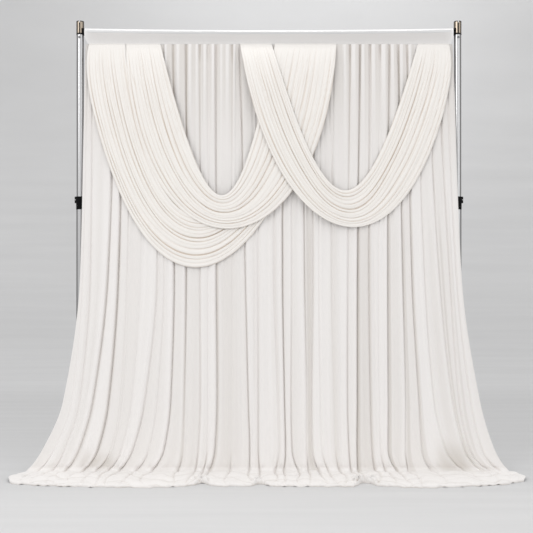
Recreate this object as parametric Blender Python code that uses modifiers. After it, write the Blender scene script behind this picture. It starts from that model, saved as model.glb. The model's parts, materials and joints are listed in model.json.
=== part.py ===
"""Swag curtain backdrop on a telescopic pipe stand.

Metres, +Z up, the front of the curtain faces -Y, the stand rests on z = 0.
Depths are counted forwards from the plane of the two uprights.
"""
import math

import bmesh
import bpy
import numpy as np

MM = 0.001
GAP = 0.0003

# Stand
POLE_SPACING = 2.573
POLE_X = POLE_SPACING / 2
POLE_Y = 0.176
STAND_HEIGHT = 3.05
LOWER_RADIUS = 0.0254
TUBE_WALL = 0.0012
UPPER_RADIUS = LOWER_RADIUS - TUBE_WALL - GAP
TUBE_SIDES = 20
TUBE_OVERLAP = 0.20
COLLAR_LOW = 1.768
COLLAR_HIGH = 1.856
COLLAR_RADIUS = 0.0285
COLLAR_LOW_RADIUS = 0.0270
COLLAR_STRAIGHT = 0.034
COLLAR_LIP = 0.030
EAR_REACH = 0.0370
EAR_HALF_WIDTH = 0.008
EAR_HEIGHT = 0.044
CAP_HEIGHT = 0.092
CAP_RADIUS = 0.0258
CAP_BORE = 0.0218
CAP_FLOOR = 0.006
SLOT_WIDTH = 0.008
SLOT_DEPTH = 0.082
BUTTON_RADIUS = 0.0045
BUTTON_PROUD = 0.0015
BUTTON_BELOW_CAP = 0.020
HOOK_HEIGHT = 0.042
HOOK_SADDLE = 0.004
HOOK_SADDLE_X = 0.0165
HOOK_TONGUE = 0.0066
TONGUE_NEAR = 0.010
HOOK_NECK_Y = 0.011
HOOK_NECK_Z = 0.0135
BASE_LENGTH = 0.406
BASE_DEPTH = 0.356
BASE_THICKNESS = 0.005
PIN_HEIGHT = 0.15

# Crossbar and the header sleeve round it
BAR_RADIUS = 0.019
BAR_END = 1.236
BAR_Z = 2.981
BAR_SAG = 0.0115
CLOTH = 0.002
SLEEVE_END = 1.255
SLEEVE_SLANT = 0.022
SLEEVE_PINCH = 48.0
SLEEVE_PINCH_DROP = 0.036
SLEEVE_WALL = 0.0019
SEAM_Z = 2.895
TAIL_HALF = 0.0006

# Curtain
CURTAIN_TOP = SEAM_Z - GAP
BACK_DEPTH = -TAIL_HALF - SLEEVE_WALL
LEAN = 0.14
LEAN_HEIGHT = 1.0
CREST = 0.033
SEAM_CREST = 0.003
CREST_GROWTH = 0.25
GROOVE_SHARPNESS = 2.5
BEND_RADIUS = 0.11
FOOT_CREST = 0.024
POOL_CREST = 0.014
HEM_CREST = 0.009
HEM_SPREAD = 1.04
HANG_ROWS = (CURTAIN_TOP, 2.85, 2.76, 2.58, 2.2, 1.75, 1.32, 0.9, 0.6, 0.38, 0.22)
BEND_ANGLES = (0.0, 45.0, 90.0)
POOL_ROWS = (0.5, 1.0)
PLEAT_STEPS = (0.0, 0.25, 0.75)

# Heights at which the table below says where each crease passes
CREASE_HEIGHTS = (2.9, 1.32, 0.47, 0.15, 0.0)
# Each row is one crease, left to right, with the two side edges first and last.
# top, waist, knee, shin, foot: its X in mm at those heights.
# head: crest height in mm at the seam; body, low: groove depth in mm at waist and shin.
CREASES = (
    (-1228, -1272, -1381, -1514, -1620, 3, 12, 12),
    (-1212, -1255, -1321, -1434, -1535, 3, 12, 18),
    (-1190, -1205, -1267, -1363, -1440, 3, 20, 20),
    (-1040, -1088, -1181, -1268, -1354, 3, 28, 24),
    (-985, -1017, -1075, -1142, -1235, 3, 30, 28),
    (-930, -954, -995, -1055, -1150, 3, 9, 12),
    (-840, -862, -915, -980, -1070, 3, 5, 12),
    (-745, -753, -832, -909, -998, 3, 22, 22),
    (-690, -690, -745, -800, -885, 6, 5, 7),
    (-635, -627, -659, -701, -781, 9, 30, 26),
    (-556, -551, -565, -572, -605, 11, 32, 6),
    (-464, -467, -460, -472, -490, 11, 13, 13),
    (-405, -412, -410, -412, -438, 8, 8, 10),
    (-354, -348, -348, -361, -400, 12, 27, 22),
    (-248, -250, -250, -252, -258, 9, 6, 5),
    (-198, -159, -138, -128, -130, 3, 28, 28),
    (-90, -73, -71, -70, -60, 3, 9, 22),
    (25, 34, 59, 66, 40, 3, 10, 8),
    (90, 92, 105, 111, 98, 3, 32, 26),
    (155, 155, 149, 155, 198, 3, 11, 22),
    (235, 241, 254, 254, 262, 3, 26, 8),
    (300, 299, 288, 291, 333, 3, 27, 14),
    (350, 340, 348, 356, 395, 3, 7, 6),
    (440, 423, 436, 443, 470, 3, 10, 8),
    (539, 534, 527, 534, 547, 9, 26, 24),
    (606, 599, 593, 588, 592, 12, 32, 31),
    (671, 676, 680, 687, 705, 11, 15, 13),
    (739, 742, 742, 745, 775, 10, 6, 6),
    (805, 803, 800, 795, 850, 10, 32, 26),
    (865, 905, 917, 911, 925, 9, 28, 15),
    (927, 966, 1006, 1020, 1080, 7, 28, 18),
    (1000, 1053, 1108, 1181, 1300, 3, 20, 18),
    (1070, 1152, 1233, 1306, 1410, 3, 27, 14),
    (1140, 1222, 1275, 1342, 1470, 3, 28, 16),
    (1190, 1266, 1351, 1422, 1535, 3, 18, 18),
    (1228, 1301, 1416, 1508, 1600, 3, 12, 12),
)
# Heights, upwards, at which the grooves are whole, low, body, body and whole again
GROOVE_HEIGHTS = (0.0, 0.15, 1.32, 2.75, 2.9)
# Plan of the hem: X, and how far in front of the uprights the hem lies, in mm
HEM_PLAN = (
    (-1685, 365), (-1630, 420), (-1450, 470), (-1250, 495), (-750, 522), (-520, 490),
    (-430, 405), (-340, 485), (-130, 487), (-70, 430), (50, 492), (530, 498),
    (585, 410), (645, 410), (690, 480), (950, 530), (1150, 505), (1460, 455),
    (1560, 404), (1665, 346),
)

# Swags: how far each lies in front of the curtain, and its ribs
SWAG_LAP = 0.004
SWAG_CLEARANCE = 0.007
SWAG_LAYER = 0.020
SWAG_LAYER_GROWTH = 0.12
RIB_DEPTH = 0.008
RIB_GROWTH = 0.2
RIB_STEPS = (0.0, 0.5)
SWAG_ROWS = 18
SWAG_ROW_BIAS = 0.55
# Each edge is a hanging curve: X where it starts, X of its two pulls, their height, X where it ends.
# layer: which layer of swags it is; left_lap, right_lap: swags between it and the sleeve at each end.
SWAGS = {
    "swag_left_lower": {
        "inner": (-0.978, -0.802, -0.150, 1.330, 0.120),
        "outer": (-1.226, -1.018, -0.026, 0.865, 0.415),
        "ribs": 12,
        "layer": 0,
        "left_lap": 0,
        "right_lap": 0,
    },
    "swag_left_upper": {
        "inner": (-0.739, -0.385, -0.228, 1.515, 0.042),
        "outer": (-0.972, -0.933, 0.364, 1.213, 0.459),
        "ribs": 11,
        "layer": 1,
        "left_lap": 0,
        "right_lap": 1,
    },
    "swag_right": {
        "inner": (0.018, 0.401, 0.621, 1.560, 1.014),
        "outer": (-0.196, 0.054, 1.115, 1.228, 1.226),
        "ribs": 11,
        "layer": 2,
        "left_lap": 0,
        "right_lap": 0,
    },
}


def clear_scene():
    for old in list(bpy.data.objects):
        bpy.data.objects.remove(old, do_unlink=True)


def make_collection(name):
    group = bpy.data.collections.new(name)
    bpy.context.scene.collection.children.link(group)
    return group


def make_material(name, color, roughness, metallic):
    """A plain finish for one kind of piece."""
    material = bpy.data.materials.new(name)
    material.use_nodes = True
    shader = material.node_tree.nodes["Principled BSDF"]
    shader.inputs["Base Color"].default_value = (*color, 1.0)
    shader.inputs["Roughness"].default_value = roughness
    shader.inputs["Metallic"].default_value = metallic
    return material


def add_object(name, mesh, material, group):
    piece = bpy.data.objects.new(name, mesh)
    piece.data.materials.append(material)
    group.objects.link(piece)
    return piece


def front(depth):
    """Y of a point that many metres in front of the plane of the uprights."""
    return POLE_Y - depth


def grid_mesh(name, points):
    """Mesh of a grid of points, rows downwards and columns to the right, facing forwards."""
    rows, columns = points.shape[:2]
    corner = (np.arange(rows - 1)[:, None] * columns + np.arange(columns - 1)).ravel()
    faces = np.stack([corner, corner + columns, corner + columns + 1, corner + 1], axis=1)
    mesh = bpy.data.meshes.new(name)
    mesh.from_pydata(points.reshape(-1, 3).tolist(), [], faces.tolist())
    mesh.shade_smooth()
    return mesh


def add_thickness(piece, thickness):
    wall = piece.modifiers.new("Thickness", "SOLIDIFY")
    wall.thickness = thickness
    wall.offset = 1.0
    wall.use_even_offset = True
    wall.use_rim = True


def growth(drop, distance):
    """0 at the seam, rising to 1 a few distances below it."""
    return 1.0 - np.exp(-drop / distance)


def smooth_path(knots, values, at):
    """Smooth curves through values at falling knots, one column a curve, with no overshoot."""
    knots = np.asarray(knots, float)
    steps = np.diff(knots)
    rises = np.diff(values, axis=0) / steps[:, None]
    slopes = np.empty_like(values)
    slopes[0] = rises[0]
    slopes[-1] = rises[-1]
    same_way = rises[:-1] * rises[1:] > 0
    total = np.where(same_way, rises[:-1] + rises[1:], 1.0)
    slopes[1:-1] = np.where(same_way, 2 * rises[:-1] * rises[1:] / total, 0.0)
    span = np.clip(np.searchsorted(-knots, -at, side="right") - 1, 0, len(steps) - 1)
    share = ((at - knots[span]) / steps[span])[:, None]
    width = steps[span][:, None]
    start = (1 + 2 * share) * (1 - share) ** 2 * values[span]
    end = share ** 2 * (3 - 2 * share) * values[span + 1]
    leave = share * (1 - share) ** 2 * width * slopes[span]
    arrive = share ** 2 * (share - 1) * width * slopes[span + 1]
    return start + end + leave + arrive


def curtain_back_depth(height):
    """Depth of the deepest grooves: the curtain leans forwards towards the floor."""
    lean = np.exp(-height / LEAN_HEIGHT) - math.exp(-CURTAIN_TOP / LEAN_HEIGHT)
    return BACK_DEPTH + LEAN * lean


def curtain_rows():
    """Height, share of the floor run, and lean of the surface at each row of the curtain."""
    heights = list(HANG_ROWS)
    runs = [0.0] * len(HANG_ROWS)
    tilts = [0.0] * len(HANG_ROWS)
    for angle in BEND_ANGLES:
        tilt = math.radians(angle)
        heights.append(BEND_RADIUS * (1.0 - math.sin(tilt)))
        runs.append(0.0)
        tilts.append(tilt)
    for run in POOL_ROWS:
        heights.append(0.0)
        runs.append(run)
        tilts.append(math.pi / 2)
    return np.array(heights), np.array(runs), np.array(tilts)


def curtain_points():
    """The curtain's back face: grooves that hang, bend forwards and run flat to the hem."""
    table = np.array(CREASES, float) * MM
    paths = table[:, :5].T
    head, body, low = table[:, 5], table[:, 6], table[:, 7]
    heights, runs, tilts = curtain_rows()

    crease_x = smooth_path(CREASE_HEIGHTS, paths, heights)
    crease_x *= 1.0 + (HEM_SPREAD - 1.0) * runs[:, None]

    drop = CURTAIN_TOP - heights
    crest = head + (CREST - head) * growth(drop, CREST_GROWTH)[:, None]
    pool_crest = np.interp(runs, (0.0, *POOL_ROWS), (FOOT_CREST, POOL_CREST, HEM_CREST))
    bent = np.sin(tilts)[:, None]
    crest = crest * (1.0 - bent) + pool_crest[:, None] * bent

    whole = np.ones_like(low)
    shares = np.stack([whole, low / CREST, body / CREST, body / CREST, whole])
    groove = crest * np.stack(
        [np.interp(heights, GROOVE_HEIGHTS, share) for share in shares.T], axis=1
    )

    left = slice(0, -1)
    right = slice(1, None)
    columns = []
    for step in PLEAT_STEPS:
        x = crease_x[:, left] * (1 - step) + crease_x[:, right] * step
        level = crest[:, left] * (1 - step) + crest[:, right] * step
        near_left = max(0.0, 1.0 - 2.0 * step) ** GROOVE_SHARPNESS
        near_right = max(0.0, 2.0 * step - 1.0) ** GROOVE_SHARPNESS
        rise = level - groove[:, left] * near_left - groove[:, right] * near_right
        columns.append(np.stack([x, rise], axis=-1))
    grid = np.stack(columns, axis=2).reshape(len(heights), -1, 2)
    last = np.stack([crease_x[:, -1:], (crest - groove)[:, -1:]], axis=-1)
    grid = np.concatenate([grid, last], axis=1)
    x, rise = grid[..., 0], grid[..., 1]

    plan = np.array(HEM_PLAN, float) * MM
    bend_front = curtain_back_depth(BEND_RADIUS) + BEND_RADIUS
    reach = np.interp(x, plan[:, 0], plan[:, 1]) - bend_front
    hanging = np.where(tilts > 0, bend_front - BEND_RADIUS * np.cos(tilts), curtain_back_depth(heights))
    depth = hanging[:, None] + runs[:, None] * reach + rise * np.cos(tilts)[:, None]
    z = heights[:, None] + rise * np.sin(tilts)[:, None]
    return np.stack([x, front(depth), z], axis=-1)


def build_curtain(group, material):
    piece = add_object("curtain", grid_mesh("curtain", curtain_points()), material, group)
    add_thickness(piece, CLOTH)


def hanging_curve(edge, t):
    """Points of a cubic curve that leaves the seam downwards and comes back up to it."""
    start, pull_left, pull_right, pull_z, end = edge
    a, b, c, d = (1 - t) ** 3, 3 * t * (1 - t) ** 2, 3 * t ** 2 * (1 - t), t ** 3
    x = a * start + b * pull_left + c * pull_right + d * end
    z = (a + d) * SEAM_Z + (b + c) * pull_z
    return x, z


def swag_points(swag):
    """A swag's back face: curves between its inner and outer edge, with ribs along them."""
    inner, outer = np.array(swag["inner"]), np.array(swag["outer"])
    ribs = swag["ribs"]
    steps = [(rib + step) / ribs for rib in range(ribs) for step in RIB_STEPS] + [1.0]
    across = np.array(steps)
    share = np.linspace(0.0, 1.0, SWAG_ROWS)
    t = share - SWAG_ROW_BIAS * np.sin(2 * math.pi * share) / (2 * math.pi)
    edge = inner[:, None, None] * (1 - across) + outer[:, None, None] * across
    x, z = hanging_curve(edge, t[:, None])
    lap = np.full_like(x[:1], SEAM_Z + SWAG_LAP)
    x = np.concatenate([x[:1], x, x[-1:]])
    z = np.concatenate([lap, z, lap])
    t = np.concatenate([t[:1], t, t[-1:]])

    drop = np.maximum(SEAM_Z - z, 0.0)
    seam_depth = TAIL_HALF + SLEEVE_WALL + GAP
    lean = curtain_back_depth(SEAM_Z - drop) - BACK_DEPTH
    curtain_front = lean + (CREST - SEAM_CREST) * growth(drop, CREST_GROWTH)
    laps = swag["left_lap"] * (1 - t) + swag["right_lap"] * t
    lap_depth = laps[:, None] * (CLOTH + GAP) * np.exp(-drop / SWAG_LAYER_GROWTH)
    layer_depth = (SWAG_CLEARANCE + swag["layer"] * SWAG_LAYER) * growth(drop, SWAG_LAYER_GROWTH)
    crown = 1.0 - np.abs(2.0 * ((across * ribs) % 1.0) - 1.0) ** 2
    rib = RIB_DEPTH * growth(drop, RIB_GROWTH) * crown
    depth = seam_depth + curtain_front + lap_depth + layer_depth + rib
    return np.stack([x, front(depth), z], axis=-1)


def build_swags(group, material):
    for name, swag in SWAGS.items():
        points = swag_points(swag)
        # The grid's rows run along the swag, so it is turned to face forwards.
        piece = add_object(name, grid_mesh(name, points.transpose(1, 0, 2)), material, group)
        add_thickness(piece, CLOTH)


def bar_height(x):
    """Height of the crossbar's axis, which sags a little at mid span."""
    return BAR_Z - BAR_SAG * (1.0 - (x / BAR_END) ** 2)


def build_sleeve(group, material):
    """Rod pocket: cloth round the bar whose two layers hang together down to the seam."""
    pinch = math.radians(-SLEEVE_PINCH)
    arc = np.linspace(pinch, math.pi - pinch, 15)
    radius = BAR_RADIUS + 2 * GAP
    stations = np.linspace(-1.0, 1.0, 9)
    rings = []
    for station in stations:
        axis = bar_height(station * SLEEVE_END)
        around = [(radius * math.cos(a), axis + radius * math.sin(a)) for a in arc]
        back = [(-TAIL_HALF, axis - SLEEVE_PINCH_DROP), (-TAIL_HALF, SEAM_Z + SLEEVE_WALL)]
        face = [(TAIL_HALF, SEAM_Z + SLEEVE_WALL), (TAIL_HALF, axis - SLEEVE_PINCH_DROP)]
        ring = around + back + face
        fall = (axis + radius - np.array([z for _, z in ring])) / (axis + radius - SEAM_Z)
        x = station * (SLEEVE_END - SLEEVE_SLANT * fall * abs(station) ** 8)
        rings.append([(x[i], front(d), z) for i, (d, z) in enumerate(ring)])
    points = np.array(rings)
    points = np.concatenate([points, points[:, :1]], axis=1)
    piece = add_object("header_sleeve", grid_mesh("header_sleeve", points), material, group)
    weld = piece.modifiers.new("Weld", "WELD")
    weld.merge_threshold = 0.0001
    add_thickness(piece, SLEEVE_WALL)


def build_crossbar(group, material):
    curve = bpy.data.curves.new("crossbar", "CURVE")
    curve.dimensions = "3D"
    curve.bevel_depth = BAR_RADIUS
    curve.bevel_resolution = 6
    curve.use_fill_caps = True
    places = np.linspace(-BAR_END, BAR_END, 9)
    spline = curve.splines.new("POLY")
    spline.points.add(len(places) - 1)
    for point, x in zip(spline.points, places):
        point.co = (x, POLE_Y, bar_height(x), 1.0)
    piece = bpy.data.objects.new("crossbar", curve)
    curve.materials.append(material)
    group.objects.link(piece)


def turned(name, profile, place, material, group, sides=TUBE_SIDES):
    """A closed profile of radius and height points, turned about a vertical axis."""
    mesh = bpy.data.meshes.new(name)
    count = len(profile)
    edges = [(i, (i + 1) % count) for i in range(count)]
    mesh.from_pydata([(r, 0.0, z) for r, z in profile], edges, [])
    piece = add_object(name, mesh, material, group)
    piece.location = place
    screw = piece.modifiers.new("Turn", "SCREW")
    screw.steps = sides
    screw.render_steps = sides
    screw.use_merge_vertices = True
    screw.merge_threshold = 0.00001
    return piece


def ring_profile(outer, inner, low, high):
    return [(outer, high), (outer, low), (inner, low), (inner, high)]


def box(name, low, high, group):
    """A box between two corners, given in the coordinates of the piece that it joins or cuts."""
    mesh = bpy.data.meshes.new(name)
    shape = bmesh.new()
    bmesh.ops.create_cube(shape, size=1.0)
    size = [b - a for a, b in zip(low, high)]
    middle = [(a + b) / 2 for a, b in zip(low, high)]
    bmesh.ops.scale(shape, vec=size, verts=shape.verts)
    bmesh.ops.translate(shape, vec=middle, verts=shape.verts)
    shape.to_mesh(mesh)
    shape.free()
    piece = bpy.data.objects.new(name, mesh)
    group.objects.link(piece)
    return piece


def cylinder(name, radius, low, high, group, sides=TUBE_SIDES):
    mesh = bpy.data.meshes.new(name)
    shape = bmesh.new()
    bmesh.ops.create_cone(
        shape, cap_ends=True, segments=sides, radius1=radius, radius2=radius, depth=high - low
    )
    bmesh.ops.translate(shape, vec=(0, 0, (low + high) / 2), verts=shape.verts)
    shape.to_mesh(mesh)
    shape.free()
    piece = bpy.data.objects.new(name, mesh)
    group.objects.link(piece)
    return piece


def combine(piece, other, operation, place):
    """Joins, cuts or crops a piece with a hidden helper shape."""
    other.location = place
    other.hide_render = True
    other.display_type = "WIRE"
    step = piece.modifiers.new(operation.title(), "BOOLEAN")
    step.operation = operation
    step.object = other
    step.solver = "EXACT"


def build_base(side, x, group, helpers, material):
    """Flat steel plate with the pin that the upright slips over."""
    name = f"base_{side}"
    place = (x, POLE_Y, 0.0)
    half_x, half_y = BASE_LENGTH / 2, BASE_DEPTH / 2
    plate = box(name, (-half_x, -half_y, 0.0), (half_x, half_y, BASE_THICKNESS), group)
    plate.data.materials.append(material)
    plate.location = place
    pin_radius = UPPER_RADIUS
    pin = cylinder(f"{name}_pin", pin_radius, BASE_THICKNESS / 2, PIN_HEIGHT, helpers)
    combine(plate, pin, "UNION", place)


def build_upright(side, x, group, materials):
    """Two telescopic tubes with their clamp collar."""
    place = (x, POLE_Y, 0.0)
    lower_low, lower_high = BASE_THICKNESS + GAP, COLLAR_HIGH - COLLAR_LIP
    lower = ring_profile(LOWER_RADIUS, LOWER_RADIUS - TUBE_WALL, lower_low, lower_high)
    turned(f"lower_tube_{side}", lower, place, materials["tube"], group)
    upper_low = COLLAR_HIGH - TUBE_OVERLAP
    upper_high = STAND_HEIGHT - CAP_HEIGHT - GAP
    upper = ring_profile(UPPER_RADIUS, UPPER_RADIUS - TUBE_WALL, upper_low, upper_high)
    turned(f"upper_tube_{side}", upper, place, materials["tube"], group)


def build_collar(side, x, group, helpers, material):
    """Black clamp collar: a tapered ring on the lower tube with a lever ear on its outer side."""
    place = (x, POLE_Y, 0.0)
    shoulder = COLLAR_HIGH - COLLAR_LIP + GAP
    inner_low = LOWER_RADIUS + GAP
    inner_high = UPPER_RADIUS + GAP
    profile = [
        (COLLAR_RADIUS, COLLAR_HIGH),
        (COLLAR_RADIUS, COLLAR_HIGH - COLLAR_STRAIGHT),
        (COLLAR_LOW_RADIUS, COLLAR_LOW),
        (inner_low, COLLAR_LOW),
        (inner_low, shoulder),
        (inner_high, shoulder),
        (inner_high, COLLAR_HIGH),
    ]
    collar = turned(f"collar_{side}", profile, place, material, group)
    outwards = math.copysign(1.0, x)
    near, far = sorted((outwards * COLLAR_LOW_RADIUS, outwards * EAR_REACH))
    low, high = COLLAR_HIGH - EAR_HEIGHT, COLLAR_HIGH - GAP
    corners = (near, -EAR_HALF_WIDTH, low), (far, EAR_HALF_WIDTH, high)
    ear = box(f"collar_{side}_ear", *corners, helpers)
    combine(collar, ear, "UNION", place)


def build_button(side, x, group, material):
    """Snap button on the front of the upper tube, just under the cap."""
    name = f"button_{side}"
    height = STAND_HEIGHT - CAP_HEIGHT - BUTTON_BELOW_CAP
    button = cylinder(name, BUTTON_RADIUS, 0.0, BUTTON_PROUD, group, sides=12)
    button.data.materials.append(material)
    button.location = (x, POLE_Y - UPPER_RADIUS - GAP, height)
    button.rotation_euler = (math.pi / 2, 0.0, 0.0)


def build_cap(side, x, group, helpers, material):
    """Metal cap with an open top and four slots for the hooks of crossbars."""
    low = STAND_HEIGHT - CAP_HEIGHT
    place = (x, POLE_Y, 0.0)
    name = f"cap_{side}"
    cap = cylinder(name, CAP_RADIUS, low, STAND_HEIGHT, group)
    cap.data.materials.append(material)
    cap.location = place
    above = STAND_HEIGHT + CAP_HEIGHT
    bore = cylinder(f"{name}_bore", CAP_BORE, low + CAP_FLOOR, above, helpers)
    combine(cap, bore, "DIFFERENCE", place)
    half = SLOT_WIDTH / 2
    reach = 2 * CAP_RADIUS
    slot_low = STAND_HEIGHT - SLOT_DEPTH
    along_x = box(f"{name}_slot_x", (-reach, -half, slot_low), (reach, half, above), helpers)
    combine(cap, along_x, "DIFFERENCE", place)
    along_y = box(f"{name}_slot_y", (-half, -reach, slot_low), (half, reach, above), helpers)
    combine(cap, along_y, "DIFFERENCE", place)


def build_hook(side, x, group, helpers, material):
    """Black end of the crossbar: a saddle on the cap, with a tongue that drops into its slot."""
    name = f"hook_{side}"
    place = (x, POLE_Y, 0.0)
    inwards = -math.copysign(1.0, x)
    low = STAND_HEIGHT - CAP_HEIGHT + GAP
    high = low + HOOK_HEIGHT
    saddle_radius = CAP_RADIUS + GAP + HOOK_SADDLE
    bar_face = POLE_X - BAR_END - GAP

    def helper_box(label, near, far, half_y, bottom, top):
        """A box that reaches inwards along the crossbar, from near to far."""
        ends = sorted((inwards * near, inwards * far))
        corners = (ends[0], -half_y, bottom), (ends[1], half_y, top)
        return box(f"{name}_{label}", *corners, helpers)

    hook = cylinder(name, saddle_radius, low, high, group, sides=2 * TUBE_SIDES)
    hook.data.materials.append(material)
    hook.location = place
    inner_side = helper_box("crop", HOOK_SADDLE_X, bar_face, saddle_radius, low - GAP, high + GAP)
    combine(hook, inner_side, "INTERSECT", place)
    neck_low, neck_high = BAR_Z - HOOK_NECK_Z, BAR_Z + HOOK_NECK_Z
    neck = helper_box("neck", CAP_RADIUS, bar_face, HOOK_NECK_Y, neck_low, neck_high)
    combine(hook, neck, "UNION", place)
    clear = cylinder(f"{name}_clear", CAP_RADIUS + GAP, low - BAR_RADIUS, high + BAR_RADIUS, helpers)
    combine(hook, clear, "DIFFERENCE", place)
    tongue_low = STAND_HEIGHT - SLOT_DEPTH + GAP
    tongue_far = CAP_RADIUS + HOOK_SADDLE
    tongue = helper_box("tongue", TONGUE_NEAR, tongue_far, HOOK_TONGUE / 2, tongue_low, high - MM)
    combine(hook, tongue, "UNION", place)


def main():
    clear_scene()
    group = make_collection("swag curtain backdrop with stand")
    helpers = make_collection("helpers")
    cloth = {
        "curtain": make_material("curtain_voile", (0.86, 0.85, 0.84), 0.9, 0.0),
        "swag": make_material("swag_ivory", (0.90, 0.87, 0.83), 0.9, 0.0),
        "sleeve": make_material("sleeve_cloth", (0.84, 0.82, 0.81), 0.9, 0.0),
    }
    build_curtain(group, cloth["curtain"])
    build_swags(group, cloth["swag"])
    build_sleeve(group, cloth["sleeve"])
    materials = {
        "tube": make_material("bright_tube", (0.80, 0.80, 0.80), 0.22, 1.0),
        "bar": make_material("crossbar_metal", (0.70, 0.70, 0.70), 0.35, 1.0),
        "cap": make_material("cap_bronze", (0.45, 0.36, 0.28), 0.30, 1.0),
        "black": make_material("black_plastic", (0.02, 0.02, 0.02), 0.45, 0.0),
        "base": make_material("base_steel", (0.15, 0.15, 0.15), 0.5, 0.6),
    }
    build_crossbar(group, materials["bar"])
    for side, x in (("left", -POLE_X), ("right", POLE_X)):
        build_base(side, x, group, helpers, materials["base"])
        build_upright(side, x, group, materials)
        build_collar(side, x, group, helpers, materials["black"])
        build_button(side, x, group, materials["bar"])
        build_cap(side, x, group, helpers, materials["cap"])
        build_hook(side, x, group, helpers, materials["black"])


main()
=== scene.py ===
"""Swag curtain backdrop on its pipe stand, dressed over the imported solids.

Metres, +Z up, the front of the curtain faces -Y, the stand rests on z = 0.
Depths are counted forwards from the plane of the two uprights.
"""
import json
import math

import bmesh
import bpy
import numpy as np
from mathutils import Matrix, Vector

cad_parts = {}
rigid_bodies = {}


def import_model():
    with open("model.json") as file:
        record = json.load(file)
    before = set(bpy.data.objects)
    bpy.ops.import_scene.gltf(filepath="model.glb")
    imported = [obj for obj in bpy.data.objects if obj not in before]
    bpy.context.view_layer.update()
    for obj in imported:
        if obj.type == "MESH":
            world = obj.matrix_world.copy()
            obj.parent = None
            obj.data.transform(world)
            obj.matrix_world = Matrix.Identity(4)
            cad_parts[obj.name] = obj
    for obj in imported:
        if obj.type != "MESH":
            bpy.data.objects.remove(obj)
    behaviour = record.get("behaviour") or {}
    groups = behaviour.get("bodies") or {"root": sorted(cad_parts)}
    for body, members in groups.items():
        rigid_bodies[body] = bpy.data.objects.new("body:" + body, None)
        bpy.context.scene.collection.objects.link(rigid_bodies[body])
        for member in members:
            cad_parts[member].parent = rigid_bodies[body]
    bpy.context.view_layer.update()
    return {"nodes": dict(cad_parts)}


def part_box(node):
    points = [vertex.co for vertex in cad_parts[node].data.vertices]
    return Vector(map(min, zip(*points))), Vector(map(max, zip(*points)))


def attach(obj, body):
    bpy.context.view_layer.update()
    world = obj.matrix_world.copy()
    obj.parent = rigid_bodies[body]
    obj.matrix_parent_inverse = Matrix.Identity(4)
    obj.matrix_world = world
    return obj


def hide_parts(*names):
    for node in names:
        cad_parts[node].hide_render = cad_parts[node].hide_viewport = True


for old in list(bpy.data.objects):
    bpy.data.objects.remove(old, do_unlink=True)
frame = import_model()
MM = 0.001


# Base plates
# Each upright stands on a flat plate of thick sheet steel with rounded corners and a light grey powder coat.
# A steel pin is welded upright in the middle of the plate, and the lower tube slips over it.
def shader_of(material):
    """The surface that a finish ends in."""
    return material.node_tree.nodes["Principled BSDF"]


def new_material(name, color, roughness, metallic=0.0, sheen=0.0, specular=0.5):
    """A finish of one colour, to which each section adds its own detail."""
    material = bpy.data.materials.new(name)
    material.use_nodes = True
    inputs = shader_of(material).inputs
    inputs["Base Color"].default_value = (*color, 1.0)
    inputs["Roughness"].default_value = roughness
    inputs["Metallic"].default_value = metallic
    inputs["Sheen Weight"].default_value = sheen
    inputs["Specular IOR Level"].default_value = specular
    return material


def add_step(material, kind, result, inputs=(), **settings):
    """One step of a finish, whose inputs take plain values or the results of other steps."""
    tree = material.node_tree
    node = tree.nodes.new("ShaderNode" + kind)
    for name, value in settings.items():
        setattr(node, name, value)
    for name, value in dict(inputs).items():
        if isinstance(value, bpy.types.NodeSocket):
            tree.links.new(value, node.inputs[name])
        else:
            node.inputs[name].default_value = value
    return node.outputs[result]


def feed(material, result, name):
    """Gives the result of a step to an input of the surface itself."""
    material.node_tree.links.new(result, shader_of(material).inputs[name])


def add_bump(material, height, strength, distance):
    """Relief of up to a distance in metres, from a pattern of heights."""
    inputs = {"Height": height, "Strength": strength, "Distance": distance}
    feed(material, add_step(material, "Bump", "Normal", inputs), "Normal")


def add_grain(material, scale, strength, distance, stretch=(1.0, 1.0, 1.0)):
    """Relief of fine noise in the piece's own metres, stretched by a factor along each axis."""
    coords = add_step(material, "TexCoord", "Object")
    mapped = add_step(material, "Mapping", "Vector", {"Vector": coords, "Scale": stretch})
    noise = add_step(material, "TexNoise", "Fac", {"Vector": mapped, "Scale": scale, "Detail": 3.0})
    add_bump(material, noise, strength, distance)


def new_piece(name, mesh, material):
    """An object of the scene that shows a mesh in one finish."""
    piece = bpy.data.objects.new(name, mesh)
    piece.data.materials.append(material)
    bpy.context.scene.collection.objects.link(piece)
    return piece


def add_shape(name, points, faces, material, slot_name, sharp=35.0):
    """A closed hard piece, with normals outwards and edges sharper than an angle kept crisp."""
    mesh = bpy.data.meshes.new(name)
    mesh.from_pydata(np.asarray(points).tolist(), [], faces)
    work = bmesh.new()
    work.from_mesh(mesh)
    bmesh.ops.recalc_face_normals(work, faces=work.faces)
    work.to_mesh(mesh)
    work.free()
    mesh.shade_smooth()
    mesh.set_sharp_from_angle(angle=math.radians(sharp))
    piece = new_piece(name, mesh, material)
    return piece


def ring_faces(rings, around, closed_rings):
    """Quads that join rings of points, each ring closed, and the last ring to the first if asked."""
    faces = []
    for ring in range(rings if closed_rings else rings - 1):
        following = (ring + 1) % rings
        for step in range(around):
            ahead = (step + 1) % around
            first, second = ring * around, following * around
            faces.append((first + step, first + ahead, second + ahead, second + step))
    return faces
def capped_faces(rings, around):
    """The same for an open stack of rings, with a face over its first ring and over its last."""
    ends = [tuple(range(around)), tuple(range((rings - 1) * around, rings * around))]
    return ring_faces(rings, around, False) + ends


def axis_of(low, high):
    """X and Y of the middle of a box."""
    return (low.x + high.x) / 2, (low.y + high.y) / 2

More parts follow.
